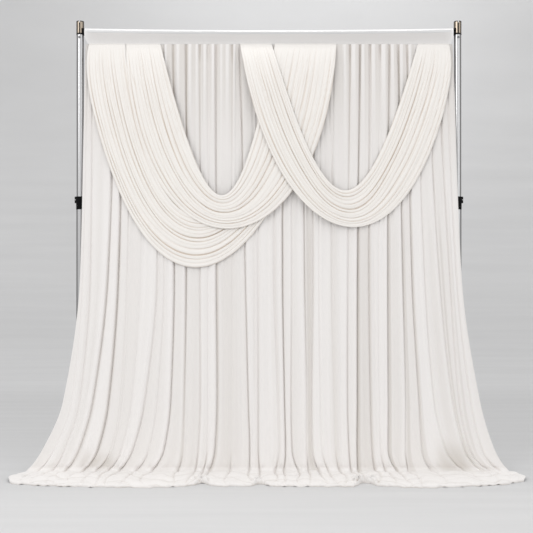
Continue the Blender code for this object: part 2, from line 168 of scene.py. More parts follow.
def turned(profile, place, sides=96):
    """Points and faces of a closed profile turned about a vertical axis: x = r cos a, y = r sin a."""
    angles = np.linspace(0.0, 2 * math.pi, sides, endpoint=False)
    radius, height = np.array(profile, float).T
    x = place[0] + radius[:, None] * np.cos(angles)
    y = place[1] + radius[:, None] * np.sin(angles)
    z = np.broadcast_to(height[:, None], x.shape)
    points = np.stack([x, y, z], axis=-1).reshape(-1, 3)
    return points, ring_faces(len(profile), sides, True)


def rod(profile, place, sides=96):
    """A solid turned shape: the profile's first and last rings are capped."""
    points, _ = turned(profile, place, sides)
    return points, capped_faces(len(profile), sides)


def facing_forwards(points):
    """A turned shape tipped over, so that its axis points forwards."""
    return np.stack([points[:, 0], -points[:, 2], points[:, 1]], axis=-1)


def joined(*shapes):
    """Several shapes as one list of points and one of faces."""
    points, faces, count = [], [], 0
    for shape_points, shape_faces in shapes:
        points.append(np.asarray(shape_points))
        faces += [tuple(corner + count for corner in face) for face in shape_faces]
        count += len(shape_points)
    return np.concatenate(points), faces


def rounded_box(low, high, corner, edge):
    """A box with upright corners of one radius and its top edge eased by another."""
    turns = np.radians([[start + step * 15 for step in range(7)] for start in (0, 90, 180, 270)])
    levels = ((low[2], 0.0), (high[2] - edge, 0.0), (high[2] - edge * 0.3, edge * 0.3), (high[2], edge))
    ends = (
        (high[0], high[1], -1, -1),
        (low[0], high[1], 1, -1),
        (low[0], low[1], 1, 1),
        (high[0], low[1], -1, 1),
    )
    rings = []
    for z, inset in levels:
        radius = corner - inset
        ring = []
        for (x, y, to_x, to_y), angles in zip(ends, turns):
            centre = (x + to_x * corner, y + to_y * corner)
            ring += [(centre[0] + radius * math.cos(a), centre[1] + radius * math.sin(a), z) for a in angles]
        rings.append(ring)
    return np.array(rings).reshape(-1, 3), capped_faces(len(rings), len(rings[0]))


base_paint = new_material("base_steel", (0.60, 0.60, 0.605), 0.5)
add_grain(base_paint, 500.0, 0.3, 0.0004)
PLATE_THICKNESS = 0.005
PLATE_CORNER = 0.012
PLATE_EDGE = 0.0012
PIN_RADIUS = 0.0239
PIN_CHAMFER = 0.004
for side in ("left", "right"):
    low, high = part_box(f"base_{side}")
    plate_high = (high.x, high.y, PLATE_THICKNESS)
    plate = rounded_box((low.x, low.y, 0.0), plate_high, PLATE_CORNER, PLATE_EDGE)
    pin_profile = [
        (PIN_RADIUS, PLATE_THICKNESS - MM),
        (PIN_RADIUS, high.z - PIN_CHAMFER),
        (PIN_RADIUS - PIN_CHAMFER, high.z),
    ]
    pin = rod(pin_profile, axis_of(low, high))
    piece = add_shape(f"base_plate_{side}", *joined(plate, pin), base_paint, "base_plate")
    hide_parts(f"base_{side}")
    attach(piece, "root")


# Uprights
# Two round metal tubes slide one inside the other, the thinner one on top.
# They are drawn tube, polished bright, with a light grain along their length and eased ends.
bright_tube = new_material("bright_tube", (0.80, 0.80, 0.80), 0.3, 1.0)


def paint_rim_shade(material, front, rim):
    """Painted reflection and shade: base colour that goes from one tone where the surface faces the eye to
    another at its rim.
    """
    facing = add_step(material, "LayerWeight", "Facing", {"Blend": 0.5})
    ramp = add_step(material, "ValToRGB", "Color", {"Fac": facing})
    for stop, position, color in zip(ramp.node.color_ramp.elements, (0.1, 0.56), (front, rim)):
        stop.position = position
        stop.color = (*color, 1.0)
    feed(material, ramp, "Base Color")


# Painted reflection and shade on the tubes: lighter where they face the eye, dark at their rims.
paint_rim_shade(bright_tube, (0.54, 0.54, 0.545), (0.07, 0.066, 0.066))
add_grain(bright_tube, 40.0, 0.02, 0.0002, (1.0, 1.0, 0.01))
TUBE_WALL = 0.0012
TUBE_EASE = 0.0004


def tube_profile(outer, low, high):
    """Wall of a tube with its two outer edges eased."""
    inner = outer - TUBE_WALL
    ease = TUBE_EASE
    return [
        (outer, high - ease),
        (outer, low + ease),
        (outer - ease, low),
        (inner, low),
        (inner, high),
        (outer - ease, high),
    ]


for part in ("lower_tube", "upper_tube"):
    for side in ("left", "right"):
        low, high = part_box(f"{part}_{side}")
        profile = tube_profile((high.x - low.x) / 2, low.z, high.z)
        drawn = turned(profile, axis_of(low, high))
        piece = add_shape(f"{part}_{side}_drawn", *drawn, bright_tube, "upright_tube")
        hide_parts(f"{part}_{side}")
        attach(piece, "root")


# Clamp collars
# A black moulded collar sits on top of each lower tube and grips the upper one.
# It has a wider band at the top, a taper below, and a lever ear on its outer side with a steel screw.
black_plastic = new_material("black_plastic", (0.004, 0.004, 0.0045), 0.55, specular=0.08)
add_grain(black_plastic, 400.0, 0.2, 0.0002)
screw_steel = new_material("screw_steel", (0.62, 0.62, 0.62), 0.28, 1.0)
LOWER_RADIUS = 0.0254
UPPER_RADIUS = 0.0239
GAP = 0.0003
EAR_INNER = 0.0270
EAR_OUTER = 0.0370
EAR_HALF = 0.008
EAR_LENGTH = 0.044
SCREW_PROFILE = [(0.0028, 0.0), (0.0028, 0.0008), (0.0016, 0.0012)]
for side, outwards in (("left", -1.0), ("right", 1.0)):
    low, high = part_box(f"collar_{side}")
    tube_low, tube_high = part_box(f"lower_tube_{side}")
    axis = axis_of(tube_low, tube_high)
    shoulder = tube_high.z + GAP
    profile = [
        (0.0278, high.z),
        (0.0285, high.z - 0.001),
        (0.0285, high.z - 0.013),
        (0.0279, high.z - 0.0145),
        (0.0285, high.z - 0.016),
        (0.0285, high.z - 0.034),
        (0.0276, high.z - 0.0365),
        (0.0270, low.z + 0.001),
        (0.0262, low.z),
        (LOWER_RADIUS + GAP, low.z),
        (LOWER_RADIUS + GAP, shoulder),
        (UPPER_RADIUS + GAP, shoulder),
        (UPPER_RADIUS + GAP, high.z),
    ]
    near = axis[0] + outwards * EAR_INNER
    far = axis[0] + outwards * EAR_OUTER
    ear_low = (min(near, far), axis[1] - EAR_HALF, high.z - EAR_LENGTH)
    ear_high = (max(near, far), axis[1] + EAR_HALF, high.z - GAP)
    ear = rounded_box(ear_low, ear_high, 0.003, 0.0015)
    collar = joined(turned(profile, axis), ear)
    piece = add_shape(f"clamp_collar_{side}", *collar, black_plastic, "clamp_collar")
    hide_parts(f"collar_{side}")
    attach(piece, "root")
    points, faces = rod(SCREW_PROFILE, (0.0, 0.0), 32)
    middle = ((near + far) / 2, axis[1] - EAR_HALF, high.z - EAR_LENGTH / 2)
    screw_points = facing_forwards(points) + middle
    screw = add_shape(f"collar_screw_{side}", screw_points, faces, screw_steel, "clamp_collar")
    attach(screw, "root")


# Snap buttons
# A small steel button, pushed out by a spring inside the tube, holds each cap.
# It is a shallow dome that stands a little proud of the front of the upper tube, ringed by a thin black disc
# that is painted shadow of its hole.
button_steel = new_material("button_steel", (0.36, 0.36, 0.37), 0.24, 1.0)
SHADOW_RING_PROFILE = [(0.0074, 0.0), (0.0074, 0.0005), (0.0047, 0.0005), (0.0047, 0.0)]
for side in ("left", "right"):
    low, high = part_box(f"button_{side}")
    radius = (high.x - low.x) / 2
    proud = high.y - low.y
    arc = np.radians(np.linspace(0.0, 80.0, 9))
    dome = [(radius * math.cos(a), proud * math.sin(a)) for a in arc]
    place = ((low.x + high.x) / 2, high.y, (low.z + high.z) / 2)
    points, faces = rod(dome, (0.0, 0.0), 40)
    points = facing_forwards(points) + place
    piece = add_shape(f"snap_button_{side}", points, faces, button_steel, "snap_button")
    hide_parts(f"button_{side}")
    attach(piece, "root")
    # A thin black ring behind each button stands for the shadow of the hole in the tube: painted shadow.
    points, faces = turned(SHADOW_RING_PROFILE, (0.0, 0.0), 40)
    points = facing_forwards(points) + place
    shadow_ring = add_shape(f"button_shadow_ring_{side}", points, faces, black_plastic, "snap_button")
    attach(shadow_ring, "root")


# Slotted caps
# A turned metal cap with a bronzed finish and bright edges closes each upright, open at the top.
# Four slots are sawn down its wall, and the hooks of crossbars drop into them.
cap_metal = new_material("cap_bronze", (0.46, 0.38, 0.31), 0.22, 1.0)
# Painted reflection and shade on the caps: lighter where they face the eye, dark at their rims.
paint_rim_shade(cap_metal, (0.42, 0.355, 0.285), (0.035, 0.028, 0.024))
add_grain(cap_metal, 80.0, 0.1, 0.0003, (1.0, 1.0, 0.05))
# A near-black finish: painted shade on the faces inside the bore and the slots, and a band at the top and
# the bottom of each cap.
cap_shade_and_bands = new_material("cap_shade_and_bands", (0.012, 0.01, 0.009), 0.5, 0.4)
DARK_BAND = 0.010
CAP_BORE = 0.0218
CAP_FLOOR = 0.006
CAP_EASE = 0.0006
SLOT_HALF = 0.004
SLOT_DEPTH = 0.082


def petal(outer, inner, low, high, quarter, place):
    """Wall between two slots: an arc whose two ends stay parallel to the slots."""
    ease = 0.0008
    loop = [
        (outer, low),
        (outer, high - 0.0065),
        (outer, high - ease),
        (outer - ease, high),
        (inner + ease, high),
        (inner, high - ease),
        (inner, low),
    ]
    rings = []
    for step in np.linspace(0.0, 1.0, 25):
        ring = []
        for radius, z in loop:
            margin = math.asin(SLOT_HALF / radius)
            angle = quarter + margin + (math.pi / 2 - 2 * margin) * step
            ring.append((place[0] + radius * math.cos(angle), place[1] + radius * math.sin(angle), z))
        rings.append(ring)
    return np.array(rings).reshape(-1, 3), capped_faces(len(rings), len(loop))


for side in ("left", "right"):
    low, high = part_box(f"cap_{side}")
    axis = axis_of(low, high)
    outer = (high.x - low.x) / 2
    slot_low = high.z - SLOT_DEPTH
    cup_profile = [
        (outer - CAP_EASE, low.z),
        (outer, low.z + CAP_EASE),
        (outer, low.z + 0.0095),
        (outer - 0.0004, slot_low),
        (CAP_BORE, slot_low),
        (CAP_BORE, low.z + CAP_FLOOR),
    ]
    quarters = [quarter * math.pi / 2 for quarter in range(4)]
    petals = [petal(outer, CAP_BORE, slot_low, high.z, quarter, axis) for quarter in quarters]
    cap = joined(rod(cup_profile, axis), *petals)
    piece = add_shape(f"slotted_cap_{side}", *cap, cap_metal, "slotted_cap")
    piece.data.materials.append(cap_shade_and_bands)
    # Faces inside the bore and slots take the painted shade; faces in the top and bottom bands take the same
    # near-black.
    for face in piece.data.polygons:
        from_axis = math.hypot(face.center.x - axis[0], face.center.y - axis[1])
        inside = from_axis < outer - CAP_EASE
        banded = face.center.z > high.z - DARK_BAND or face.center.z < low.z + DARK_BAND
        face.material_index = int(inside or banded)
    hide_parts(f"cap_{side}")
    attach(piece, "root")


# Hooks of the crossbar
# Moulded black plastic ends with a saddle that rests against the cap and a tongue in its slot.
# They are plain mouldings, so their solids show, with a fine matt grain.
hook_plastic = new_material("hook_plastic", (0.004, 0.004, 0.004), 0.5, specular=0.08)
add_grain(hook_plastic, 400.0, 0.2, 0.0002)
for side in ("left", "right"):
    frame["nodes"][f"hook_{side}"].data.materials[0] = hook_plastic


# Crossbar
# A plain round aluminium bar carries the whole curtain and sags a little at mid span.
# Only its two ends show, between the mouths of the sleeve and the hooks.
bar_aluminium = new_material("bar_aluminium", (0.75, 0.75, 0.75), 0.35, 1.0)
add_grain(bar_aluminium, 600.0, 0.1, 0.0002, (0.02, 1.0, 1.0))
frame["nodes"]["crossbar"].data.materials[0] = bar_aluminium


# Header sleeve
# A rod pocket: one strip of the same soft knit is wrapped over the bar and sewn to itself below it.
# Its face is smooth and hangs flat to the seam, and its two open mouths are cut aslant and curl a little.
def add_weave(material, thread, strength, distance):
    """Relief of fine crossed threads, from the piece's own map in metres."""
    coords = add_step(material, "TexCoord", "UV")
    inputs = {"Vector": coords, "Scale": 1.0 / (thread * 2 * math.pi), "Distortion": 0.6}
    warp = add_step(material, "TexWave", "Fac", inputs, bands_direction="X")
    weft = add_step(material, "TexWave", "Fac", inputs, bands_direction="Y")
    both = add_step(material, "Math", "Value", {0: warp, 1: weft}, operation="ADD")
    add_bump(material, both, strength, distance)


def cloth_material(name, ridge, painted_shade):
    """Cloth whose colour moves towards a deeper tone by its share of painted shade, which stands for shade
    in folds and creases, with a faint cloudiness.
    """
    material = new_material(name, ridge, 0.85, sheen=0.2, specular=0.15)
    painted_shade_share = add_step(material, "Attribute", "Fac", attribute_name="painted_shade")
    inputs = {"Factor": painted_shade_share, "A": (*ridge, 1.0), "B": (*painted_shade, 1.0)}
    tone = add_step(material, "Mix", "Result", inputs, data_type="RGBA")
    coords = add_step(material, "TexCoord", "Object")
    cloud = add_step(material, "TexNoise", "Fac", {"Vector": coords, "Scale": 2.2, "Detail": 2.0})
    level = add_step(material, "MapRange", "Result", {"Value": cloud, "To Min": 0.975, "To Max": 1.0})
    shade = add_step(material, "VectorMath", "Vector", {0: tone, "Scale": level}, operation="SCALE")
    feed(material, shade, "Base Color")
    add_weave(material, 0.0007, 0.25, 0.0002)
    return material


def running_length(points, axis):
    """Distance in metres along a grid's middle line, one value a row or a column."""
    middle = np.take(points, points.shape[1 - axis] // 2, axis=1 - axis)
    steps = np.linalg.norm(np.diff(middle, axis=0), axis=1)
    return np.concatenate([[0.0], np.cumsum(steps)])

def grid_faces(rows, columns):
    """Quads of a grid of points that runs down its rows and right along its columns."""
    corner = (np.arange(rows - 1)[:, None] * columns + np.arange(columns - 1)).ravel()
    return np.stack([corner, corner + columns, corner + columns + 1, corner + 1], axis=1)


def cloth_sheet(name, points, painted_shade, material):
    """A sheet from a grid of points, rows downwards and columns to the right, facing forwards."""
    faces = grid_faces(*points.shape[:2])
    mesh = bpy.data.meshes.new(name)
    mesh.from_pydata(points.reshape(-1, 3).tolist(), [], faces.tolist())
    mesh.shade_smooth()
    across, down = np.meshgrid(running_length(points, 1), running_length(points, 0))
    spread = np.stack([across, -down], axis=-1).reshape(-1, 2)
    layer = mesh.uv_layers.new(name="UVMap")
    layer.data.foreach_set("uv", spread[faces.ravel()].ravel())
    # Each point keeps its share of painted shade, which the cloth finish reads.
    painted_shade_share = mesh.attributes.new("painted_shade", "FLOAT", "POINT")
    painted_shade_share.data.foreach_set("value", np.clip(painted_shade, 0.0, 1.0).astype(np.float32).ravel())
    piece = new_piece(name, mesh, material)
    return piece


def eased(share):
    """A share kept between 0 and 1 and smoothed: three times its square less twice its cube."""
    share = np.clip(share, 0.0, 1.0)
    return share * share * (3 - 2 * share)


def ripple(x, y, waves):
    """Uneven swells: a sum of sines, each with a height, its turns a metre along x and y, and a start."""
    total = np.zeros(np.broadcast(x, y).shape)
    for height, along_x, along_y, start in waves:
        total = total + height * np.sin(2 * math.pi * (along_x * x + along_y * y) + start)
    return total


CLOTH = 0.002
POLE_Y = 0.176
BAR_RADIUS = 0.019
BAR_END = 1.236
BAR_Z = 2.981
BAR_SAG = 0.0115
SEAM_Z = 2.895
SLEEVE_END = 1.255
SLEEVE_SLANT = 0.022
TAIL_HALF = 0.0006
SLEEVE_WALL = 0.0019
LINING = 0.0012
WRAP_START = math.radians(38.0)
FACE_ROWS = 26
WRAP_ROWS = 27
MOUTH_FLARE = 0.005
MOUTH_LENGTH = 0.012
CUT_SHARE = 0.48
FACE_BULGE = 0.0035
PUCKERS = ((0.00035, 31.0, 3.0, 0.4), (0.0003, 47.0, -5.0, 2.1), (0.0004, 9.0, 1.0, 1.2))
SLACK = ((0.0006, 1.7, 2.0, 0.3), (0.0005, 3.1, -4.0, 1.9))
sleeve_cloth = cloth_material("sleeve_cloth", (0.90, 0.89, 0.885), (0.645, 0.62, 0.603))


def bar_height(x):
    """Height of the middle of the bar, which sags by a parabola between its ends."""
    return BAR_Z - BAR_SAG * (1.0 - (x / BAR_END) ** 2)


def sleeve_points():
    """The pocket's loop, from the seam up the face, over the bar and down the back.
    Below the bar the two layers close up along a smooth curve, and pucker a little at the seam."""
    stations = np.concatenate([
        np.linspace(-1.0, -0.96, 24, endpoint=False),
        np.linspace(-0.96, 0.96, 260, endpoint=False),
        np.linspace(0.96, 1.0, 25),
    ])[:, None]
    side = np.linspace(0.0, 1.0, FACE_ROWS, endpoint=False)
    arc = np.linspace(WRAP_START, math.pi - WRAP_START, WRAP_ROWS)
    flat_rows, wrap_rows = np.ones(FACE_ROWS), np.ones(WRAP_ROWS)
    radius = BAR_RADIUS + LINING
    axis = bar_height(stations * SLEEVE_END)
    rise = np.concatenate([side, wrap_rows, side[::-1]])[None, :]
    layer = np.concatenate([flat_rows, 0 * wrap_rows, -flat_rows])[None, :]
    turn = np.concatenate([flat_rows * arc[0], arc, flat_rows * arc[-1]])[None, :]
    over = layer == 0.0
    top_z = axis + radius * math.sin(WRAP_START)
    low_z = SEAM_Z + 0.0005
    low_depth = TAIL_HALF + MM
    face_depth = low_depth + (radius * math.cos(WRAP_START) - low_depth) * eased((rise - 0.10) / 0.90)
    bulge = FACE_BULGE * np.sin(math.pi * np.clip((rise - 0.15) / 0.85, 0.0, 1.0))
    depth = np.where(over, radius * np.cos(turn), layer * (face_depth + bulge))
    z = np.where(over, axis + radius * np.sin(turn), low_z + (top_z - low_z) * rise)
    cut = np.clip(1.0 - rise / CUT_SHARE, 0.0, 1.0) * np.abs(stations) ** 8 * ~over
    x = stations * (SLEEVE_END - SLEEVE_SLANT * cut)
    mouth = np.exp(-(SLEEVE_END - np.abs(stations * SLEEVE_END)) / MOUTH_LENGTH)
    opening = MOUTH_FLARE * mouth * (0.4 + 0.6 * np.sin(math.pi * rise)) * np.where(over, 0.4, 1.0)
    depth = depth + opening * np.sign(np.where(over, np.cos(turn), layer))
    depth = depth + layer * ripple(x, z, PUCKERS) * (1 - rise) ** 2
    depth = depth + layer * ripple(x, z, SLACK) * np.sin(math.pi * rise) * 0.8
    points = np.stack([x, POLE_Y - depth, z], axis=-1)
    return points.transpose(1, 0, 2)[::-1]


sleeve = sleeve_points()
# The face of the pocket takes painted shade: little just under the top of the bar, most a few centimetres
# lower, less towards the seam and the open mouths, none over the bar.
BELOW_TOP = 0.009
MOUTH_TONE = 0.022
over_bar = np.abs(np.linspace(-1.0, 1.0, sleeve.shape[0]))[:, None]
face_top = bar_height(sleeve[..., 0]) + BAR_RADIUS * math.sin(WRAP_START)
below = np.maximum(face_top - sleeve[..., 2], 0.0)
fall = below / (BAR_Z - SEAM_Z)
painted_shade_share = np.clip(0.86 - 0.34 * fall - 0.75 * np.exp(-below / BELOW_TOP), 0.0, 1.0)
painted_shade_share = np.where(over_bar < 0.33, 0.0, painted_shade_share)
from_mouth = SLEEVE_END - np.abs(sleeve[..., 0])
painted_shade_share = painted_shade_share * (1 - 0.85 * np.exp(-from_mouth / MOUTH_TONE))
header = cloth_sheet("rod_pocket", sleeve, painted_shade_share, sleeve_cloth)
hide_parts("header_sleeve")
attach(header, "root")


# Curtain
# One wide sheet of thin, soft knit, gathered under the seam of the sleeve and falling to the floor.
# Its pleats open out towards the sides, bend forwards where they meet the floor and run out in a pool
# of cloth with a narrow rolled hem, which is bunched together at four places.
CURTAIN_TOP = SEAM_Z - 0.0003
BACK_DEPTH = -TAIL_HALF - SLEEVE_WALL
LEAN = 0.14
LEAN_HEIGHT = 1.0
CREST = 0.033
SEAM_CREST = 0.003
CREST_GROWTH = 0.25
BEND_RADIUS = 0.055
FOOT_CREST = 0.026
POOL_CREST = 0.018
HEM_CREST = 0.012
HEM_SPREAD = 1.04
CREASE_HEIGHTS = (2.9, 1.32, 0.47, 0.15, 0.0)
# Each row is one crease, left to right: its X in mm at those heights, the height in mm of the crests
# beside it at the seam, its depth in mm at the waist and at the shin, and the side of its bright fold.
CREASES = (
    (-1250, -1276, -1381, -1514, -1620, 3, 8, 5, 1),
    (-1225, -1255, -1321, -1434, -1535, 3, 8, 7, 1),
    (-1195, -1205, -1267, -1363, -1440, 3, 18, 10, 1),
    (-1040, -1088, -1181, -1268, -1354, 3, 28, 24, -1),
    (-985, -1017, -1075, -1142, -1235, 3, 30, 28, -1),
    (-930, -954, -995, -1055, -1150, 3, 7, 6, -1),
    (-840, -862, -915, -980, -1070, 3, 4, 6, 1),
    (-745, -753, -832, -909, -998, 3, 11, 18, -1),
    (-722, -705, -745, -800, -885, 6, 5, 7, -1),
    (-652, -640, -659, -701, -781, 9, 30, 26, -1),
    (-564, -558, -565, -572, -605, 11, 32, 6, -1),
    (-470, -467, -460, -472, -490, 11, 13, 13, 1),
    (-412, -412, -410, -412, -438, 8, 8, 10, 1),
    (-361, -356, -348, -361, -400, 12, 27, 22, -1),
    (-252, -250, -250, -252, -258, 9, 7, 5, 1),
    (-198, -159, -138, -128, -130, 3, 28, 30, 1),
    (-90, -73, -71, -70, -60, 3, 9, 22, 1),
    (25, 34, 59, 66, 40, 3, 11, 8, 1),
    (90, 92, 105, 111, 98, 3, 32, 28, -1),
    (155, 155, 149, 155, 198, 3, 11, 22, -1),
    (235, 241, 254, 254, 262, 3, 26, 8, -1),
    (300, 299, 288, 291, 333, 3, 15, 14, 1),
    (350, 340, 348, 356, 395, 3, 7, 6, -1),
    (440, 423, 436, 443, 470, 3, 12, 8, 1),
    (553, 534, 527, 534, 547, 9, 15, 24, -1),
    (621, 599, 593, 588, 592, 12, 32, 31, -1),
    (689, 676, 680, 687, 705, 11, 21, 18, 1),
    (757, 742, 742, 745, 775, 10, 7, 6, 1),
    (819, 803, 800, 795, 850, 10, 32, 26, -1),
    (880, 905, 917, 911, 925, 9, 30, 15, -1),
    (942, 966, 1006, 1020, 1080, 7, 28, 20, 1),
    (1000, 1053, 1108, 1181, 1300, 3, 20, 18, -1),
    (1070, 1152, 1233, 1306, 1410, 3, 27, 14, -1),
    (1140, 1222, 1275, 1342, 1470, 3, 28, 16, 1),
    (1200, 1266, 1351, 1422, 1535, 3, 20, 18, 1),
    (1252, 1301, 1416, 1508, 1600, 3, 12, 12, -1),
)
GROOVE_HEIGHTS = (0.0, 0.15, 1.32, 2.75, 2.9)
HEM_PLAN = (
    (-1685, 365), (-1630, 420), (-1450, 470), (-1250, 495), (-750, 522), (-520, 490),
    (-430, 405), (-340, 485), (-130, 487), (-70, 430), (50, 492), (530, 498),
    (585, 410), (645, 410), (690, 480), (950, 530), (1150, 505), (1460, 455),
    (1560, 404), (1665, 346),
)
# Small folds between the creases: X in mm at four heights, depth in mm and width in mm.
FINE_HEIGHTS = (2.6, 1.49, 0.82, 0.23)
FINE_CREASES = (
    (-1120, -1125, -1165, -1300, 2.5, 9),
    (-1075, -1057, -1100, -1180, 2.0, 8),
    (-905, -920, -945, -1010, 2.5, 9),
    (-815, -844, -876, -930, 3.0, 10),
    (-720, -735, -800, -870, 2.5, 10),
    (-580, -590, -605, -640, 3.0, 9),
    (-510, -510, -525, -543, 3.0, 9),
    (-486, -480, -480, -517, 2.0, 7),
    (-385, -385, -400, -400, 2.5, 8),
    (-324, -305, -310, -300, 2.5, 9),
    (-222, -220, -213, -200, 2.5, 9),
    (-180, -190, -180, -182, 2.5, 8),
    (-110, -97, -96, -107, 4.0, 9),
    (-28, -10, -12, 5, 4.5, 10),
    (62, 66, 75, 83, 2.5, 8),
    (120, 120, 125, 128, 3.0, 8),
    (197, 191, 184, 200, 4.0, 9),
    (222, 222, 212, 221, 2.5, 8),
    (272, 266, 268, 275, 4.0, 9),
    (375, 383, 384, 383, 3.0, 9),
    (400, 441, 440, 455, 4.5, 9),
    (460, 470, 480, 504, 2.5, 9),
    (563, 566, 565, 556, 4.0, 9),
    (634, 632, 640, 650, 3.5, 9),
    (711, 710, 712, 739, 3.0, 9),
    (772, 772, 777, 766, 3.5, 9),
    (830, 826, 830, 830, 3.0, 8),
    (876, 872, 877, 880, 3.5, 9),
    (930, 935, 947, 944, 3.0, 8),
    (1018, 1010, 1030, 1058, 2.5, 9),
    (1080, 1093, 1120, 1200, 3.0, 10),
    (1110, 1119, 1150, 1230, 2.5, 9),
    (1170, 1178, 1218, 1320, 3.0, 9),
)
# Folds that stand out under the seam and die out below it: X, height and half width, in mm.
# A thin line of painted shade, over a shallow groove, runs down the left side of each, where the cloth
# doubles back.
HEAD_FOLDS = (
    (-705, 5, 9), (-620, 5, 11), (-538, 6, 11), (-490, 4, 8), (-436, 5, 10), (-381, 5, 10), (-323, 4, 8),
    (-282, 5, 12), (-235, 5, 8),
    (515, 6, 11), (574, 6, 16), (638, 6, 13), (710, 6, 14), (778, 6, 16), (840, 5, 12), (901, 5, 12),
    (958, 5, 13), (1000, 4, 9),
)
HEAD_FADE = 0.55
LINE_BESIDE = 0.003
LINE_HALF = 0.0034
LINE_DEPTH = 0.003
# Creases of both openings along which a long line of painted shade runs, by their row in the table of
# creases, counted from 0.
LONG_LINES = (9, 10, 11, 14, 24)
LONG_LINE_HALF = 0.0051
LONG_LINE_FADE = 0.9
# Where the spread pleats shade each other just above the floor: X in metres, and how high.
HOLLOWS = ((-1.14, 0.065), (1.24, 0.14))
HOLLOW_HALF = 0.12
HOLLOW_Z = 0.075
# Bands of painted shade where the voile hangs in one layer and looks greyer or, with a last value below 0,
# of painted light where it lies in two and looks whiter: X at the waist and half width in mm, and how much.
BANDS = (
    (-1088, 10, 0.48), (-1017, 12, 0.54), (-906, 50, 0.192), (-601, 27, 0.216), (-562, 9, 0.54),
    (-507, 33, 0.216), (-466, 10, 0.264), (-348, 10, 0.60), (-267, 68, 0.312), (45, 12, 0.30),
    (272, 24, 0.60), (437, 24, 0.336), (607, 11, 0.72), (648, 44, 0.336), (683, 13, 0.54),
    (815, 9, 0.66), (856, 30, 0.24), (917, 8, 0.54), (975, 9, 0.60), (1110, 27, 0.264),
    (1174, 10, 0.54), (1238, 7, 0.48),
    (-1055, 24, -0.72), (-820, 50, -0.36), (-385, 27, -0.84), (-22, 25, -0.84), (357, 48, -0.84),
    (506, 27, -0.96), (762, 45, -0.60), (1020, 35, -0.60),
)
BANDS_TOP = 2.05
POOL_RISE = 0.005
POOL_BLEND = 0.08
# X in mm of the small arches where the hem lifts off the floor.
HEM_LIFTS = (
    -1566, -1451, -1391, -1307, -1257, -1113, -601, -423, -7, 96, 162, 243, 1099, 1205, 1330, 1387,
    1449, 1552,
)
# Where the hem is bunched: X, depth in front of the uprights, and reach of the creases, in mm.
BUNCHES = ((-430, 385, 70), (-70, 425, 40), (575, 400, 60), (648, 400, 60))
# Low ridges that run along the hem, with rounded tops and sharp valleys between them.
# Each has its height in metres, its turns a metre along the hem and away from the wall, and its start.
POOL_RIDGES = ((0.0110, 0.9, 8.0, 0.2), (0.0090, -1.9, 5.3, 1.9), (0.0030, 4.1, 12.0, 0.9))
# Slow waves along the width: height in metres, turns a metre along and across, and start.
CREASE_WANDER = ((0.022, 1.9, 0.45, 0.6), (0.016, 4.3, -0.7, 2.2))
HEM_SCALLOPS = ((0.006, 6.1, 0.0, 0.3), (0.005, 10.7, 0.0, 1.4), (0.003, 19.0, 0.0, 2.2))
POOL_SWAY = ((0.040, 1.9, 0.0, 0.0), (0.030, 4.1, 0.0, 1.0), (0.010, 8.7, 0.0, 2.0))
POOL_STARTS = ((0.020, 2.3, 0.0, 0.5), (0.016, 5.1, 0.0, 1.8), (0.008, 9.7, 0.0, 0.3))
# The same for faint streaks and for the shade of the cloth, both along its thread lines.
STREAKS = (
    (0.0011, 11.3, 0.12, 0.4), (0.0011, 17.9, -0.16, 1.7), (0.0008, 29.7, 0.21, 2.9),
    (0.0006, 43.0, -0.1, 0.8),
)
LAYERS = ((0.5, 4.7, 0.1, 0.9), (0.35, 8.9, -0.12, 2.2), (0.3, 15.1, 0.1, 0.2))


def front(depth):
    """Y of a point that many metres in front of the plane of the uprights."""
    return POLE_Y - depth


def growth(drop, distance):
    """0 at the seam, rising to 1 a few distances below it: 1 - e to the power -drop / distance."""
    return 1.0 - np.exp(-drop / distance)


def smooth_path(knots, values, at):
    """Smooth curves through values at falling knots, one column a curve, with no overshoot.
    Each span is a cubic whose end slopes are the harmonic mean of the slopes on both sides."""
    knots = np.asarray(knots, float)
    steps = np.diff(knots)
    rises = np.diff(values, axis=0) / steps[:, None]
    slopes = np.empty_like(values)
    slopes[0] = rises[0]
    slopes[-1] = rises[-1]
    same_way = rises[:-1] * rises[1:] > 0
    total = np.where(same_way, rises[:-1] + rises[1:], 1.0)
    slopes[1:-1] = np.where(same_way, 2 * rises[:-1] * rises[1:] / total, 0.0)
    span = np.clip(np.searchsorted(-knots, -at, side="right") - 1, 0, len(steps) - 1)
    share = ((at - knots[span]) / steps[span])[:, None]
    width = steps[span][:, None]
    start = (1 + 2 * share) * (1 - share) ** 2 * values[span]
    end = share ** 2 * (3 - 2 * share) * values[span + 1]
    leave = share * (1 - share) ** 2 * width * slopes[span]
    arrive = share ** 2 * (share - 1) * width * slopes[span + 1]
    return start + end + leave + arrive


def curtain_back_depth(height):
    """Depth of the deepest grooves, which lean forwards towards the floor by an exponential curve."""
    lean = np.exp(-height / LEAN_HEIGHT) - math.exp(-CURTAIN_TOP / LEAN_HEIGHT)
    return BACK_DEPTH + LEAN * lean


def hill(distance, half, power=2):
    """1 in the middle and less on both sides: e to the power -(distance / half) to a power."""
    return np.exp(-(np.abs(distance / half) ** power))


def between(grid, steps):
    """Values at the steps of each cell between neighbouring columns, in a straight line."""
    left, right = grid[:, :-1, None], grid[:, 1:, None]
    inside = (left * (1 - steps) + right * steps).reshape(len(grid), -1)
    return np.concatenate([inside, grid[:, -1:]], axis=1)


